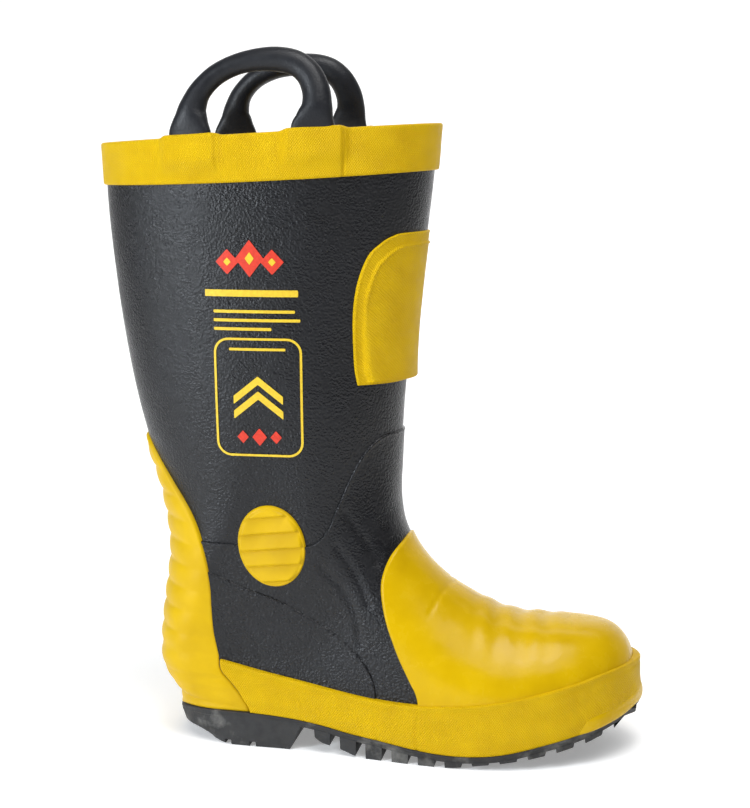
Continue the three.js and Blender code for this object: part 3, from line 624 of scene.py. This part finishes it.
# ---- black rubber upper
ABOVE_ANKLE_SEAM = region(ANKLE_SEAM, (FAR, FAR), (-FAR, FAR))
BELOW_ANKLE_SEAM = region(ANKLE_SEAM, (FAR, -FAR), (-FAR, -FAR))
LEG_OVERLAP = 3.0  # the leg runs on this far under the foot piece's edge
CREASE = {"depth": 0.8, "width": 2.2}


def leg():
    field = side_field(ABOVE_ANKLE_SEAM)
    return patch("leg_rubber", BODY_GRID, lambda p: field(p) + LEG_OVERLAP,
                 lambda p, f, w: unevenness(p, 30, 0.3), BLACK, weld=True)


def crease(points, corners):
    """A soft fold in the rubber along a side-view line, as a change of height."""
    line = smooth_line(corners)
    there_and_back = np.vstack([line, line[::-1]])
    distance = inside_distance(points[..., 0], points[..., 2], there_and_back)
    return -CREASE["depth"] * bell(distance, CREASE["width"])


FLEX_CREASES = [
    [(112, 118), (125, 104), (134, 88), (137, 70)],
    [(122, 130), (134, 112), (142, 94)],
    [(127, 150), (138, 134), (146, 120)],
]


def foot():
    def height(points, field, where):
        folds = sum(crease(points, corners) for corners in FLEX_CREASES)
        under_guard = smoothstep(points[:, 0], 172, 190)
        bead = 0.45 * bell(field - 0.9, 0.5)
        raised = rounded_edge(field, 0.8, 0.6) + bead + unevenness(points, 18, 0.35) + folds
        return raised * (1 - under_guard)

    return patch("foot_rubber", BODY_GRID, side_field(BELOW_ANKLE_SEAM), height, BLACK, weld=True)


def one_side(field, side):
    """Limits a field to the outer (-1) or inner (1) side of the boot."""
    return lambda points: np.minimum(field(points), side * points[..., 1] - 1)


def quarters():
    field = side_field(region(QUARTER_EDGE, (30, 24)))
    for side, name in SIDES:
        piece = patch("quarter_rubber_" + name, BODY_GRID, one_side(field, side),
                      lambda p, f, w: rounded_edge(f, 1.7, 0.8) + unevenness(p, 18, 0.35), BLACK)
        place(piece, "upper_rubber", "heel_quarter_" + name)


place(leg(), "upper_rubber", "leg_upper")
place(foot(), "upper_rubber", "foot_upper")
quarters()


# ---- yellow overlays
def toe_guard():
    """Toe and instep guard, with low ripples over the instep and one short fold."""
    ridge = np.concatenate([[0], np.cumsum(np.hypot(*np.diff(STATIONS[:, :2], axis=0).T))])
    rippled, fade_length, pitch = (52.0, 128.0), 22.0, 15.5  # measured along the ridge from the toe
    fold_row, fold_lean, fold_width, fold_depth = 7.7, 0.5, 0.05, 0.7

    def height(points, field, where):
        row = where[:, 0]
        distance = np.interp(row, np.arange(ROWS + 1), ridge)
        angle = np.minimum(where[:, 1], 2 * math.pi - where[:, 1])
        window = smoothstep(distance, rippled[0], rippled[0] + fade_length)
        window = window * (1 - smoothstep(distance, rippled[1] - fade_length, rippled[1]))
        fade = 1 - smoothstep(angle, 0.75, 1.75)
        ripples = np.sin(2 * math.pi * distance / pitch + 1.2 * np.sin(angle * 2)) * window * fade
        fold = bell(row - fold_row - fold_lean * angle, fold_width) * (1 - smoothstep(angle, 0.8, 1.05))
        thickness = 2.8 - 1.2 * smoothstep(points[:, 0], 190, 225) * (1 - smoothstep(angle, 1.0, 2.0))
        thickness += (0.22 + 0.5 * bell(angle, 0.45)) * ripples - fold_depth * fold
        return rounded_edge(field, thickness, 1.6) + unevenness(points, 14, 0.3)

    outline = region(TOE_GUARD_EDGE, (FAR, 200), (FAR, 26))
    piece = patch("toe_guard_rubber", BODY_GRID, side_field(outline), height, YELLOW, (0.15, 0.6, 1.6))
    return place(piece, "yellow_rubber", "toe_guard")


def foxing():
    """The yellow band over the sole's edge, and the bumper strip round the toe."""
    skipped = 0.045  # share of the way round that the heel guard covers, each side of the back
    grid = wrap_grid(skipped, 68)
    outline = np.vstack([smooth_line(FOXING_TOP), [(FAR, 59.5), (FAR, -60), (68, -60)],
                         smooth_line(HEEL_SEAM)[::-1]])
    top = line_height(FOXING_TOP)
    sole = line_height(SOLE_TOP)
    bumper_back, bumper_top = 262, 9.5

    def height(points, field, where):
        above_sole = points[:, 2] - sole(points[:, 0])
        roll = 0.7 * bell(above_sole - 7, 5)
        groove = -0.4 * bell(top(points[:, 0]) - 4 - points[:, 2], 0.7)
        for seam in FOXING_SEAMS:
            groove -= 0.6 * bell(points[:, 0] - seam, 0.7) * (points[:, 1] < 0)
        return rounded_edge(field, 4.0 + roll + groove, 0.9) + unevenness(points, 16, 0.25)

    piece = patch("foxing_rubber", grid, side_field(outline), height, YELLOW_TWILL, (0.12, 0.45, 1.0))
    place(piece, "yellow_rubber", "foxing_band")

    def bumper_height(points, field, where):
        above_sole = points[:, 2] - sole(points[:, 0])
        swell = np.sqrt(np.clip(1 - ((above_sole - 4) / 5.5) ** 2, 0, 1))
        return 3.6 + 2.2 * swell * smoothstep(points[:, 0], bumper_back, bumper_back + 18)

    def bumper_field(points):
        below_top = sole(points[..., 0]) + bumper_top - points[..., 2]
        return np.minimum(below_top, points[..., 0] - bumper_back)

    piece = patch("toe_bumper_rubber", grid, bumper_field, bumper_height, YELLOW, (0.1, 0.3, 0.8))
    place(piece, "yellow_rubber", "toe_bumper")


def heel_guard():
    """Ribbed guard round the back of the heel, with a bulge above the foxing's height."""
    top = 191
    skipped = 0.375  # share of the way round that is left bare, each side of the toe
    grid = wrap_grid(skipped, top + 5, start=len(FEATHER) // 2)
    outline = np.vstack([smooth_line(HEEL_GUARD_EDGE), smooth_line(HEEL_SEAM), [(-FAR, 0), (-FAR, top)]])
    back = STATIONS[13:, 2:4]
    rib_base, rib_pitch, low_base, low_pitch = 56, 14.2, 20, 8.0

    def line_x(z):
        """x of the boot's rearmost line at a height."""
        return np.interp(z, back[:, 1], back[:, 0])

    def height(points, field, where):
        z = points[:, 2]
        lean = z + 0.10 * (points[:, 0] - 20)
        behind = 1 - smoothstep(points[:, 0] - line_x(z), 6, 30)
        upper = np.abs(np.sin(math.pi * (lean - rib_base) / rib_pitch)) ** 0.6
        upper = upper * smoothstep(z, rib_base, rib_base + 8) * (0.35 + 0.65 * behind)
        low = np.abs(np.sin(math.pi * (lean - low_base) / low_pitch)) ** 0.8
        low = low * (1 - smoothstep(z, 44, 50))
        bulge = bell(z - 51, 6) * (0.3 + 0.7 * behind)
        inner = smoothstep(field, 0, 6)
        ribs = (1.7 * upper + 0.8 * low + 2.0 * bulge) * inner
        return rounded_edge(field, 2.3 + ribs, 1.3) + unevenness(points, 12, 0.3)

    piece = patch("heel_guard_rubber", grid, side_field(outline), height, YELLOW_RIBBED, (0.15, 0.55, 1.4))
    return place(piece, "yellow_rubber", "heel_guard")


def disc_outline():
    turn = np.linspace(0, 2 * math.pi, 72, endpoint=False)
    x = ANKLE_DISC["half_width"] * np.cos(turn)
    z = ANKLE_DISC["half_height"] * np.sin(turn)
    c, s = math.cos(ANKLE_DISC["tilt"]), math.sin(ANKLE_DISC["tilt"])
    return np.stack([ANKLE_DISC["x"] + c * x - s * z, ANKLE_DISC["z"] + s * x + c * z], axis=-1)


def fine_side_grid(x_span, z_span, side, step):
    """A fine net of points on one side of the boot, found by looking sideways at it."""
    xs = np.arange(x_span[0], x_span[1] + step, step)
    zs = np.arange(z_span[0], z_span[1] + step, step)
    points = np.zeros((len(zs), len(xs), 3))
    for i, z in enumerate(zs):
        for j, x in enumerate(xs):
            hit = BOOT_TREE.ray_cast(Vector((x, side * 150.0, z)), Vector((0, -side, 0)), 149)
            points[i, j] = hit[0] if hit[0] else (x, 0, z)
    where = np.zeros((*points.shape[:2], 2))
    grid = Grid(points, where, False)
    if np.sum(grid.normals[..., 1]) * side < 0:
        grid.turn_over()
    return grid


def ankle_guards():
    """Oval guards with ribs that overlap like shingles."""
    field_of = side_field(disc_outline())
    pitch, slope, offset, rib = 10.2, 0.12, 3.2, 2.9

    def height(points, field, where):
        rise = points[:, 2] - ANKLE_DISC["z"] - offset - slope * (points[:, 0] - ANKLE_DISC["x"])
        phase = np.mod(rise / pitch + 0.5, 1.0)
        shingle = rib * (1 - phase) * smoothstep(phase, 0.0, 0.12)
        inner = smoothstep(field, 1.2, 2.4)
        rim = 0.5 * bell(field - 0.8, 0.7)
        return rounded_edge(field, 1.6 + rim + shingle * inner, 1.0)

    for side, name in SIDES:
        grid = fine_side_grid((58, 112), (100, 160), side, 0.7)
        piece = patch("ankle_guard_rubber_" + name, grid, field_of, height, YELLOW_RIBBED, (0.12, 0.45, 1.0))
        place(piece, "yellow_rubber", "ankle_guard_" + name)


def shin_outline(side=0.0, top=0.0, bottom=0.0):
    """The shin guard's outline seen from the front, as (y, z), moved inwards."""
    w, low, high = SHIN["half_width"] - side, SHIN["low"] + bottom, SHIN["high"] - top
    half = [(w - 3.8, low), (w - 2.7, low + 8), (w - 1.8, low + 20), (w - 0.2, low + 42), (w, high - 30),
            (w - 1.5, high - 15), (w - 4.1, high - 8), (w - 9.7, high - 2), (w - 20, high)]
    return smooth_line(half + [(-y, z) for y, z in reversed(half)])


def front_field(line, back=95):
    """Field of an outline seen from the front, only in front of an x value."""
    def field(points):
        distance = inside_distance(points[..., 1], points[..., 2], line)
        return np.minimum(distance, points[..., 0] - back)
    return field


def shin_guard():
    """Moulded pad that thickens downwards, with a beaded panel inside its flat edge."""
    low, high = SHIN["low"], SHIN["high"]
    panel_field = front_field(shin_outline(3.3, 7.3, 1.5))
    edge, crown = 1.4, 5.0

    def height(points, distance, where):
        down = np.clip((high - points[:, 2]) / (high - low), 0, 1)
        panel = panel_field(points)
        bead = 1.3 * bell(panel, 0.6) * smoothstep(points[:, 2], low + 4, low + 9)
        lip = 0.35 * bell(distance - 0.5, 0.4)
        pad = smoothstep(panel, -0.6, 1.2)
        return rounded_edge(distance, edge + lip + bead + pad * (0.4 + crown * down**2), 0.8)

    grid = boot_grid(15, 22, 1.0, 560)
    field = front_field(shin_outline())
    piece = patch("shin_guard_rubber", grid, field, height, YELLOW_TWILL, (0.12, 0.4, 0.8), weld=True)
    return place(piece, "yellow_rubber", "shin_guard")


toe_guard()
foxing()
heel_guard()
ankle_guards()
shin_guard()


# ---- rim band
def tab_cover(x, soft=6.5):
    """1 over the handle tabs, 0 elsewhere, as seen from the side."""
    edges = [smoothstep(TABS["half_width"] + 1 + soft - np.abs(x - root), 0, soft) for root in TABS["roots"]]
    return np.maximum(*edges)


BAND = {"thickness": 2.3, "lip": 1.6, "inner": -8.8, "cover_reach": 2.8, "cover_lift": 1.6}


def band_profile():
    """Share of the way up to the rim, rise above the rim, and offset from the black rubber."""
    outer, lip, inner = BAND["thickness"], BAND["lip"], BAND["inner"]
    profile = [(0, 0, SUNK), (0, 0, 1.1), (0.012, 0, 1.9), (0.035, 0, outer)]
    profile += [(share, 0, outer) for share in np.linspace(0.07, 0.97, 26)]
    profile += [(1, 0.2, outer), (1, 1.0, 2.0), (1, 1.5, 1.2), (1, lip, 0), (1, lip, -3), (1, lip, -7)]
    profile += [(1, 1.3, -8.2), (1, 0.6, inner)]
    profile += [(share, 0, inner) for share in np.linspace(0.98, 0.3, 12)]
    return profile + [(0.28, 0, -8.2), (0.28, 0, -6.8)]


def band_normals(rows, angles, level):
    """Normals of the boot's surface, turned level with the rim near it."""
    step = 0.05
    along = surface(np.minimum(rows, ROWS), angles) - surface(rows - step, angles)
    across = surface(rows, angles + step) - surface(rows, angles - step)
    normal = unit(np.cross(along, across))
    return unit(normal - RIM_UP * (normal @ RIM_UP)[:, None]) if level else normal


def rim_band():
    """Cloth-marked band that folds over the rim, raised over the handle tabs."""
    columns = 720
    angles = np.linspace(0, 2 * math.pi, columns + 1)
    low_row = 22.03 + 0.33 * (1 - np.cos(angles)) / 2
    rings, wheres = [], []
    for share, rise, offset in band_profile():
        rows = low_row + (ROWS - low_row) * share
        base = surface(rows, angles)
        x = base[:, 0]
        cover = tab_cover(x)
        outer = max(0.0, min(1.0, (offset + 3) / 3))
        reach = cover * smoothstep(np.array(share), 0.12, 0.5) * BAND["cover_reach"] * outer
        lift = cover * BAND["cover_lift"] * outer * smoothstep(np.array(share), 0.9, 1.0)
        slit = np.zeros_like(x)
        for root, low in zip(TABS["roots"], (0.25, -1.0)):
            edge = root + TABS["half_width"] + 3.2
            slit += bell(x - edge, 0.7) * float(share > low)
        wave = (unevenness(base, 9, 0.35) + unevenness(base, 4, 0.15) * cover) * outer
        amount = offset + reach + wave - 0.9 * slit * outer * (offset > 0.5)
        normal = band_normals(rows, angles, share > 0.9)
        rings.append(base + normal * amount[:, None] + RIM_UP * (rise + lift)[:, None])
        wheres.append(np.stack([np.full(columns + 1, share), angles], axis=-1))
    grid = Grid(np.array(rings), np.array(wheres), True)
    piece = patch("rim_band_rubber", grid, whole_grid, lambda p, f, w: np.zeros(len(p)), YELLOW_TWILL,
                  weld=True)
    return place(piece, "yellow_rubber", "rim_band")


rim_band()


# ---- carry handles
def rim_height(x):
    return RIM_FRONT[1] - (RIM_FRONT[0] - x) * RIM_FALL / RIM_RUN


def shell_half_width(x):
    """Half-width of the black rubber at the rim."""
    rim = surface(np.full(91, float(ROWS)), np.linspace(0, math.pi, 91))
    return np.interp(x, rim[::-1, 0], np.abs(rim[::-1, 1]))


def handle(side, name):
    """Loop that thickens and flattens into its roots, which lie on the black rubber."""
    steps, around = 150, 32
    line = catmull(HANDLE_LINE, np.linspace(0, len(HANDLE_LINE) - 1, steps + 1))
    tangent = unit(np.gradient(line[:, :2], axis=0))
    above = line[:, 1] - rim_height(line[:, 0])
    lean = 8.0 * smoothstep(above, 2, 46)
    under = 1 - smoothstep(above, -2, 20)
    depth = 6.6 - 3.4 * under - 1.6 * smoothstep(-above, 1, 8)
    turn = np.linspace(0, 2 * math.pi, around, endpoint=False)
    c, s = np.cos(turn), np.sin(turn)
    vertices = []
    for k in range(steps + 1):
        squareness = 2.0 + 1.2 * under[k]
        across = line[k, 2] * np.sign(c) * np.abs(c) ** (2 / squareness)
        out = depth[k] * np.sign(s) * np.abs(s) ** (2 / squareness)
        x = line[k, 0] - tangent[k, 1] * across
        z = line[k, 1] + tangent[k, 0] * across
        centre_y = (HINGE["y"] - lean[k]) * (1 - under[k]) + (shell_half_width(x) + 0.4) * under[k]
        vertices.append(np.stack([x, side * (centre_y + out), z], axis=-1))
    faces = prism_faces(around, steps + 1)
    if side > 0:
        faces = turned_over(faces)
    piece = make_mesh("handle_rubber_" + name, np.concatenate(vertices), faces, HANDLE_RUBBER)
    axis_x = sum(TABS["roots"]) / 2
    axis = np.array([axis_x, side * HINGE["y"], rim_height(axis_x) + HINGE["above_rim"]])
    below, beyond = to_row_frame([axis - RIM_UP * 8, axis + RIM_UP * 7])
    tuple(below)
    tuple(beyond)
    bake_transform(piece)
    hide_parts("handle_" + name, "handle_tab_rear_" + name, "handle_tab_front_" + name)


for handle_side, side_name in SIDES:
    handle(handle_side, side_name)


# ---- lining and insole
def lining():
    grid = boot_grid(0, ROWS, 5.0, 120)
    piece = patch("lining_cloth", grid, whole_grid, lambda p, f, w: np.full(len(p), LINING_OFFSET),
                  LINING_CLOTH, weld=True, flip=True)
    return place(piece, "lining_fabric", "lining")


UNDERSIDE = [(-20, 27)] + [(s[2], s[3]) for s in STATIONS[13:0:-1]] + [(330, 44)]
TREAD = {"start": 108, "pitch": 16.5, "count": 12, "length": 10.5, "toe_length": 13, "sunk": 3.5}
LUG_CHAMFER = 0.7
LUG_TAPER = 0.5
SOLE_COUNT = 280  # points round the sole
HEEL_SET_IN = 1.4  # the sole's back edge stands this far inside its regular offset
HEEL_BREAST = (92, 9 / 19.5)  # x at the ground, and how far it leans forward per mm of height
HEEL_UNDERCUT = (20.0, 12)  # how far the back is cut away at the ground, and the height it fades at


def back_share(x):
    """0 in front of the heel, 1 at its back."""
    return smoothstep(56 - x, 0, 34)


def sole_rings(rings, height_of, set_in=0.0):
    """Vertices and faces of a sole-shaped slab, from rings of (offset from the feather line, lift)."""
    vertices = []
    for offset, lift in rings:
        line = feather_line(SOLE_COUNT, offset)[0][:-1]
        line[:, 0] += set_in * back_share(line[:, 0])
        vertices.append(np.column_stack([line, height_of(line[:, 0]) + lift]))
    return np.concatenate(vertices), prism_faces(SOLE_COUNT, len(rings))


def insole():
    """Loose felt insole, dished a little and thinner at its edge."""
    rings = [(-20, 9.5), (-13, 11.5), (-12, 12.5), (-11.6, 14.0), (-12.2, 15.0), (-13.4, 15.5), (-17, 15.3),
             (-24, 15.0)]
    vertices, faces = sole_rings(rings, line_height(UNDERSIDE))
    wool = felt("insole_felt", (0.18, 0.17, 0.15), (0.38, 0.36, 0.32))
    piece = make_mesh("insole_felt", vertices, turned_over(faces), wool)
    return place(piece, "felt", "removable_insole", body="insole")


lining()
insole()


# ---- outsole
def lug(outline, ground, sole):
    """A tread lug: an outline seen from above, narrowing at its lower edge."""
    outline = np.asarray(outline, float)
    inward = unit(outline.mean(axis=0) - outline)
    rings = []
    for rise, inset in ((0.0, LUG_CHAMFER + LUG_TAPER), (LUG_CHAMFER, LUG_TAPER)):
        points = outline + inward * inset
        rings.append(np.column_stack([points, ground(points[:, 0]) + rise]))
    rings.append(np.column_stack([outline, sole(outline[:, 0]) - TREAD["sunk"]]))
    return np.concatenate(rings), prism_faces(len(outline), len(rings))


def side_strip(x0, x1, inner, side):
    """Plan outline of a lug between two x values, from the sole's edge inwards."""
    line, _ = feather_line(400, SOLE_OUT - 0.2)
    edge = line[(line[:, 1] * side > 4) | (line[:, 0] > 290)]
    edge = edge[np.argsort(edge[:, 0])]
    xs = np.linspace(x0, x1, 5)
    ys = np.interp(xs, edge[:, 0], edge[:, 1])
    inner_y = side * inner
    outer = list(zip(xs, ys))
    outline = outer + [(x1, inner_y), ((x0 + x1) / 2, inner_y), (x0, inner_y)]
    return outline if side < 0 else outline[::-1]


def tread_lugs(ground, sole):
    """Lugs along both edges of the forepart, with blocks between them."""
    lugs = []
    last = TREAD["count"] - 1
    for k in range(TREAD["count"]):
        x = TREAD["start"] + k * TREAD["pitch"]
        end = x + (TREAD["length"] if k < last else TREAD["toe_length"])
        for side, inner in ((-1, 22), (1, 24)):
            reach = 6 if k == last else inner
            lugs.append(lug(side_strip(x, end, reach, side), ground, sole))
        if 1 < k < last:
            lugs.append(lug([(x - 8, -16), (x + 3, -16), (x + 3, 18), (x - 8, 18)], ground, sole))
    return lugs


def outsole():
    sole = line_height(SOLE_TOP)
    rings = [(SOLE_OUT - 6, -4.3), (SOLE_OUT - 1.2, -4.2), (SOLE_OUT - 0.4, -3.6), (SOLE_OUT - 0.3, -1.6),
             (SOLE_OUT, -1.2), (SOLE_OUT, -0.3), (SOLE_OUT - 0.6, 0.1), (SOLE_OUT - 6, 0.1)]
    parts = [sole_rings(rings, sole, HEEL_SET_IN), *tread_lugs(line_height(FOREPART_GROUND), sole)]
    vertices, faces, offset = [], [], 0
    for points, polygons in parts:
        vertices.append(points)
        faces.extend([[v + offset for v in polygon] for polygon in polygons])
        offset += len(points)
    piece = make_mesh("tread_rubber", np.concatenate(vertices), faces, SOLE)
    piece.data.set_sharp_from_angle(angle=SHARP_ANGLE)
    place(piece, "sole_rubber", "outsole")
    place(heel_block(sole), "sole_rubber")


def heel_ring(heel, z, inset):
    """Outline of the heel block at a height, with a straight front edge."""
    breast = HEEL_BREAST[0] + HEEL_BREAST[1] * z
    depth, height = HEEL_UNDERCUT
    undercut = depth * (1 - min(1.0, z / height)) ** 2 + HEEL_SET_IN
    moved = []
    for x, y in heel:
        scale = SOLE_OUT - inset - undercut * float(back_share(x))
        direction = np.array([x - 58.0, y]) if x < 40 else np.array([0.0, y])
        moved.append(np.array([x, y]) + unit(direction) * scale)
    ring = np.array([point for point in moved if point[0] < breast])
    length = np.concatenate([[0], np.cumsum(np.linalg.norm(np.diff(ring, axis=0), axis=1))])
    even = np.linspace(0, length[-1], 90)
    ring = np.column_stack([np.interp(even, length, ring[:, i]) for i in (0, 1)])
    ring[0, 0] = ring[-1, 0] = breast
    return np.concatenate([ring, np.linspace(ring[-1], ring[0], 14)[1:-1]])


def heel_block(sole):
    line, _ = feather_line(400, 0)
    heel = np.concatenate([line[-100:-1], line[:101]])
    rings = []
    for z, inset in ((0.0, 1.2), (0.9, 0.3), (3.0, 0.0), (8.0, 0.0), (14.0, 0.2), (19.8, 0.4)):
        ring = heel_ring(heel, z, inset)
        top = np.minimum(z, sole(ring[:, 0]) - 0.4) if z > 10 else np.full(len(ring), z)
        rings.append(np.column_stack([ring, top]))
    x, y = rings[0][:, 0], rings[0][:, 1]
    faces = prism_faces(len(x), len(rings))
    if np.sum(x * np.roll(y, -1) - y * np.roll(x, -1)) < 0:
        faces = turned_over(faces)
    block = make_mesh("heel_block_rubber", np.concatenate(rings), faces, SOLE)
    groove_width, groove_depth = 4.2, 3.2
    for groove in (34, 50, 66):
        for y_span, shift in (((-80, -10), 0), ((10, 80), 4)):
            start = groove + shift
            cut(block, (start, start + groove_width), y_span, (-2, groove_depth))
    block.data.set_sharp_from_angle(angle=SHARP_ANGLE)
    return block


def cut(piece, xs, ys, zs):
    """Takes a box-shaped groove out of a piece."""
    corners = [(x, y, z) for x in xs for y in ys for z in zs]
    faces = [(0, 1, 3, 2), (4, 6, 7, 5), (0, 4, 5, 1), (2, 3, 7, 6), (0, 2, 6, 4), (1, 5, 7, 3)]
    tool = make_mesh("groove", corners, faces, SOLE)
    modifier = piece.modifiers.new("groove", "BOOLEAN")
    modifier.operation = "DIFFERENCE"
    modifier.solver = "EXACT"
    modifier.object = tool
    bpy.context.view_layer.update()
    evaluated = piece.evaluated_get(bpy.context.evaluated_depsgraph_get())
    mesh = bpy.data.meshes.new_from_object(evaluated)
    piece.modifiers.clear()
    piece.data = mesh
    bpy.data.objects.remove(tool)


outsole()


# ---- printed marks
def diamond(x, z, width, tall):
    return [(x - width / 2, z), (x, z + tall / 2), (x + width / 2, z), (x, z - tall / 2)]


def bar(x0, x1, z0, z1):
    return [(x0, z0), (x1, z0), (x1, z1), (x0, z1)]


def panel(inset):
    """A rounded rectangle."""
    left, right, low, high, radius = 50.5 + inset, 103.7 - inset, 185 + inset, 257 - inset, 9 - inset
    quarter = np.linspace(0, math.pi / 2, 8)
    corners = [(right, high, 0), (left, high, 1), (left, low, 2), (right, low, 3)]
    outline = []
    for x, z, turn in corners:
        for angle in quarter + turn * math.pi / 2:
            centre_x = x - radius if x == right else x + radius
            centre_z = z - radius if z == high else z + radius
            outline.append((centre_x + radius * math.cos(angle), centre_z + radius * math.sin(angle)))
    return np.array(outline)


def prints():
    grid = fine_side_grid((40, 112), (176, 324), -1, 0.55)

    def any_of(shapes):
        fields = [side_field(shape) for shape in shapes]
        return lambda points: np.max([field(points) for field in fields], axis=0)

    badges = [diamond(60, 302, 14, 15), diamond(73.5, 304, 17, 22), diamond(87, 302, 14, 15)]
    cores = [diamond(60, 302, 4.5, 5), diamond(73.5, 304, 5.5, 7.5), diamond(87, 302, 4.5, 5)]
    rows = [bar(46, 102, 281.5, 285.5), bar(51, 100, 271.8, 273.6), bar(51, 103, 266.6, 268.4),
            bar(51, 86, 261.4, 263.2)]
    sign = [bar(60, 94, 249.4, 251), [(62, 222), (77, 234), (92, 222), (92, 217), (77, 229), (62, 217)],
            [(62, 213), (77, 225), (92, 213), (92, 208), (77, 220), (62, 208)]]
    dots = [diamond(67, 197, 7, 8), diamond(77.1, 197, 9, 11), diamond(87.2, 197, 7, 8)]
    outline, hollow = side_field(panel(0)), side_field(panel(1.4))

    def frame_field(points):
        return np.minimum(outline(points), -hollow(points))

    lift = 0.45
    red = ink("print_red", (0.50, 0.02, 0.004), (0.72, 0.035, 0.008))
    yellow = ink("print_yellow", (0.62, 0.40, 0.01), (0.80, 0.56, 0.02))
    layers = [("print_badges", any_of(badges), lift, red), ("print_cores", any_of(cores), lift + 0.1, yellow),
              ("print_rows", any_of(rows), lift, yellow), ("print_chevrons", any_of(sign), lift, yellow),
              ("print_panel", frame_field, lift, yellow), ("print_dots", any_of(dots), lift, red)]
    for name, field, amount, colour in layers:
        piece = patch(name, grid, field, lambda p, f, w, a=amount: a + unevenness(p, 30, 0.3), colour, (0.2,),
                      weld=True)
        place(piece, "upper_rubber")


prints()


# ---- inner pieces from the CAD
INNER = {
    "insulation_felt": felt("insulation_felt", (0.25, 0.24, 0.2), (0.42, 0.4, 0.35)),
    "insole_board": board("leatherboard", (0.24, 0.15, 0.08), (0.42, 0.29, 0.17)),
    "heel_counter": board("stiffener", (0.28, 0.24, 0.19), (0.45, 0.4, 0.33)),
    "steel_toe_cap": STEEL,
    "steel_midsole_plate": STEEL,
    "toe_cap_edge_strip": board("soft_strip", (0.03, 0.03, 0.03), (0.06, 0.06, 0.06)),
    "midsole": board("midsole_rubber", (0.07, 0.065, 0.06), (0.14, 0.13, 0.12)),
    "shin_guard_foam": board("sponge", (0.2, 0.18, 0.14), (0.36, 0.33, 0.28)),
}
for node_name, inner_material in INNER.items():
    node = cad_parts[node_name]
    node.data.materials.clear()
    node.data.materials.append(inner_material)


# ---- floor, light and camera
def studio():
    """Pale floor that sweeps up into a wall far behind the boot, and soft light."""
    reach, wall_y, bend, height = 8.0, 3.0, 1.0, 4.0
    turns = np.linspace(0, math.pi / 2, 17)
    profile = [(-reach, 0.0)]
    profile += [(wall_y - bend + bend * math.sin(t), bend - bend * math.cos(t)) for t in turns]
    profile += [(wall_y, height)]
    vertices = [(x, y, z) for y, z in profile for x in (-reach, reach)]
    faces = [(2 * k, 2 * k + 1, 2 * k + 3, 2 * k + 2) for k in range(len(profile) - 1)]
    mesh = bpy.data.meshes.new("floor")
    mesh.from_pydata(vertices, [], faces)
    mesh.shade_smooth()
    pale = Shader("floor", (0.9, 0.9, 0.9), 0.9, Emission_Color=(1, 1, 1, 1), Emission_Strength=0.28)
    mesh.materials.append(pale.material)
    add_object("floor", mesh)
    world = bpy.data.worlds.new("studio")
    world.use_nodes = True
    background = world.node_tree.nodes["Background"]
    background.inputs["Color"].default_value = (1, 1, 1, 1)
    background.inputs["Strength"].default_value = 0.12
    bpy.context.scene.world = world
    area_light("key", (-1.05, -1.05, 0.5), (0.28, 1.0), 18, colour=(0.86, 0.93, 1.0))
    area_light("fill", (0.3, -0.85, 1.45), (1.2, 0.8), 10)
    area_light("top", (0.25, -0.35, 1.5), (0.6, 0.6), 9)
    area_light("wall", (0.0, 1.2, 2.2), (2.0, 2.0), 42, (0.0, 3.0, 0.8))


def area_light(name, position, size, power, target=(0.0, 0.0, 0.2), colour=(1.0, 1.0, 1.0)):
    data = bpy.data.lights.new(name, "AREA")
    data.color = colour
    data.shape = "RECTANGLE"
    data.size, data.size_y = size
    data.energy = power
    light = add_object(name, data)
    light.location = position
    light.rotation_euler = (Vector(target) - Vector(position)).to_track_quat("-Z", "Y").to_euler()


def camera():
    azimuth, pitch = math.radians(10), math.radians(8.8)
    position = np.array([324.9, -1056.2, 377.4])
    level = math.cos(pitch)
    forward = Vector((-math.sin(azimuth) * level, math.cos(azimuth) * level, -math.sin(pitch)))
    data = bpy.data.cameras.new("camera")
    data.lens = 78.4
    data.sensor_width = 36
    data.clip_start, data.clip_end = 0.05, 20
    viewer = add_object("camera", data)
    viewer.location = to_row_frame(position)
    viewer.rotation_euler = forward.to_track_quat("-Z", "Y").to_euler()
    bpy.context.scene.camera = viewer


studio()
camera()
bpy.context.scene.view_settings.view_transform = "Standard"
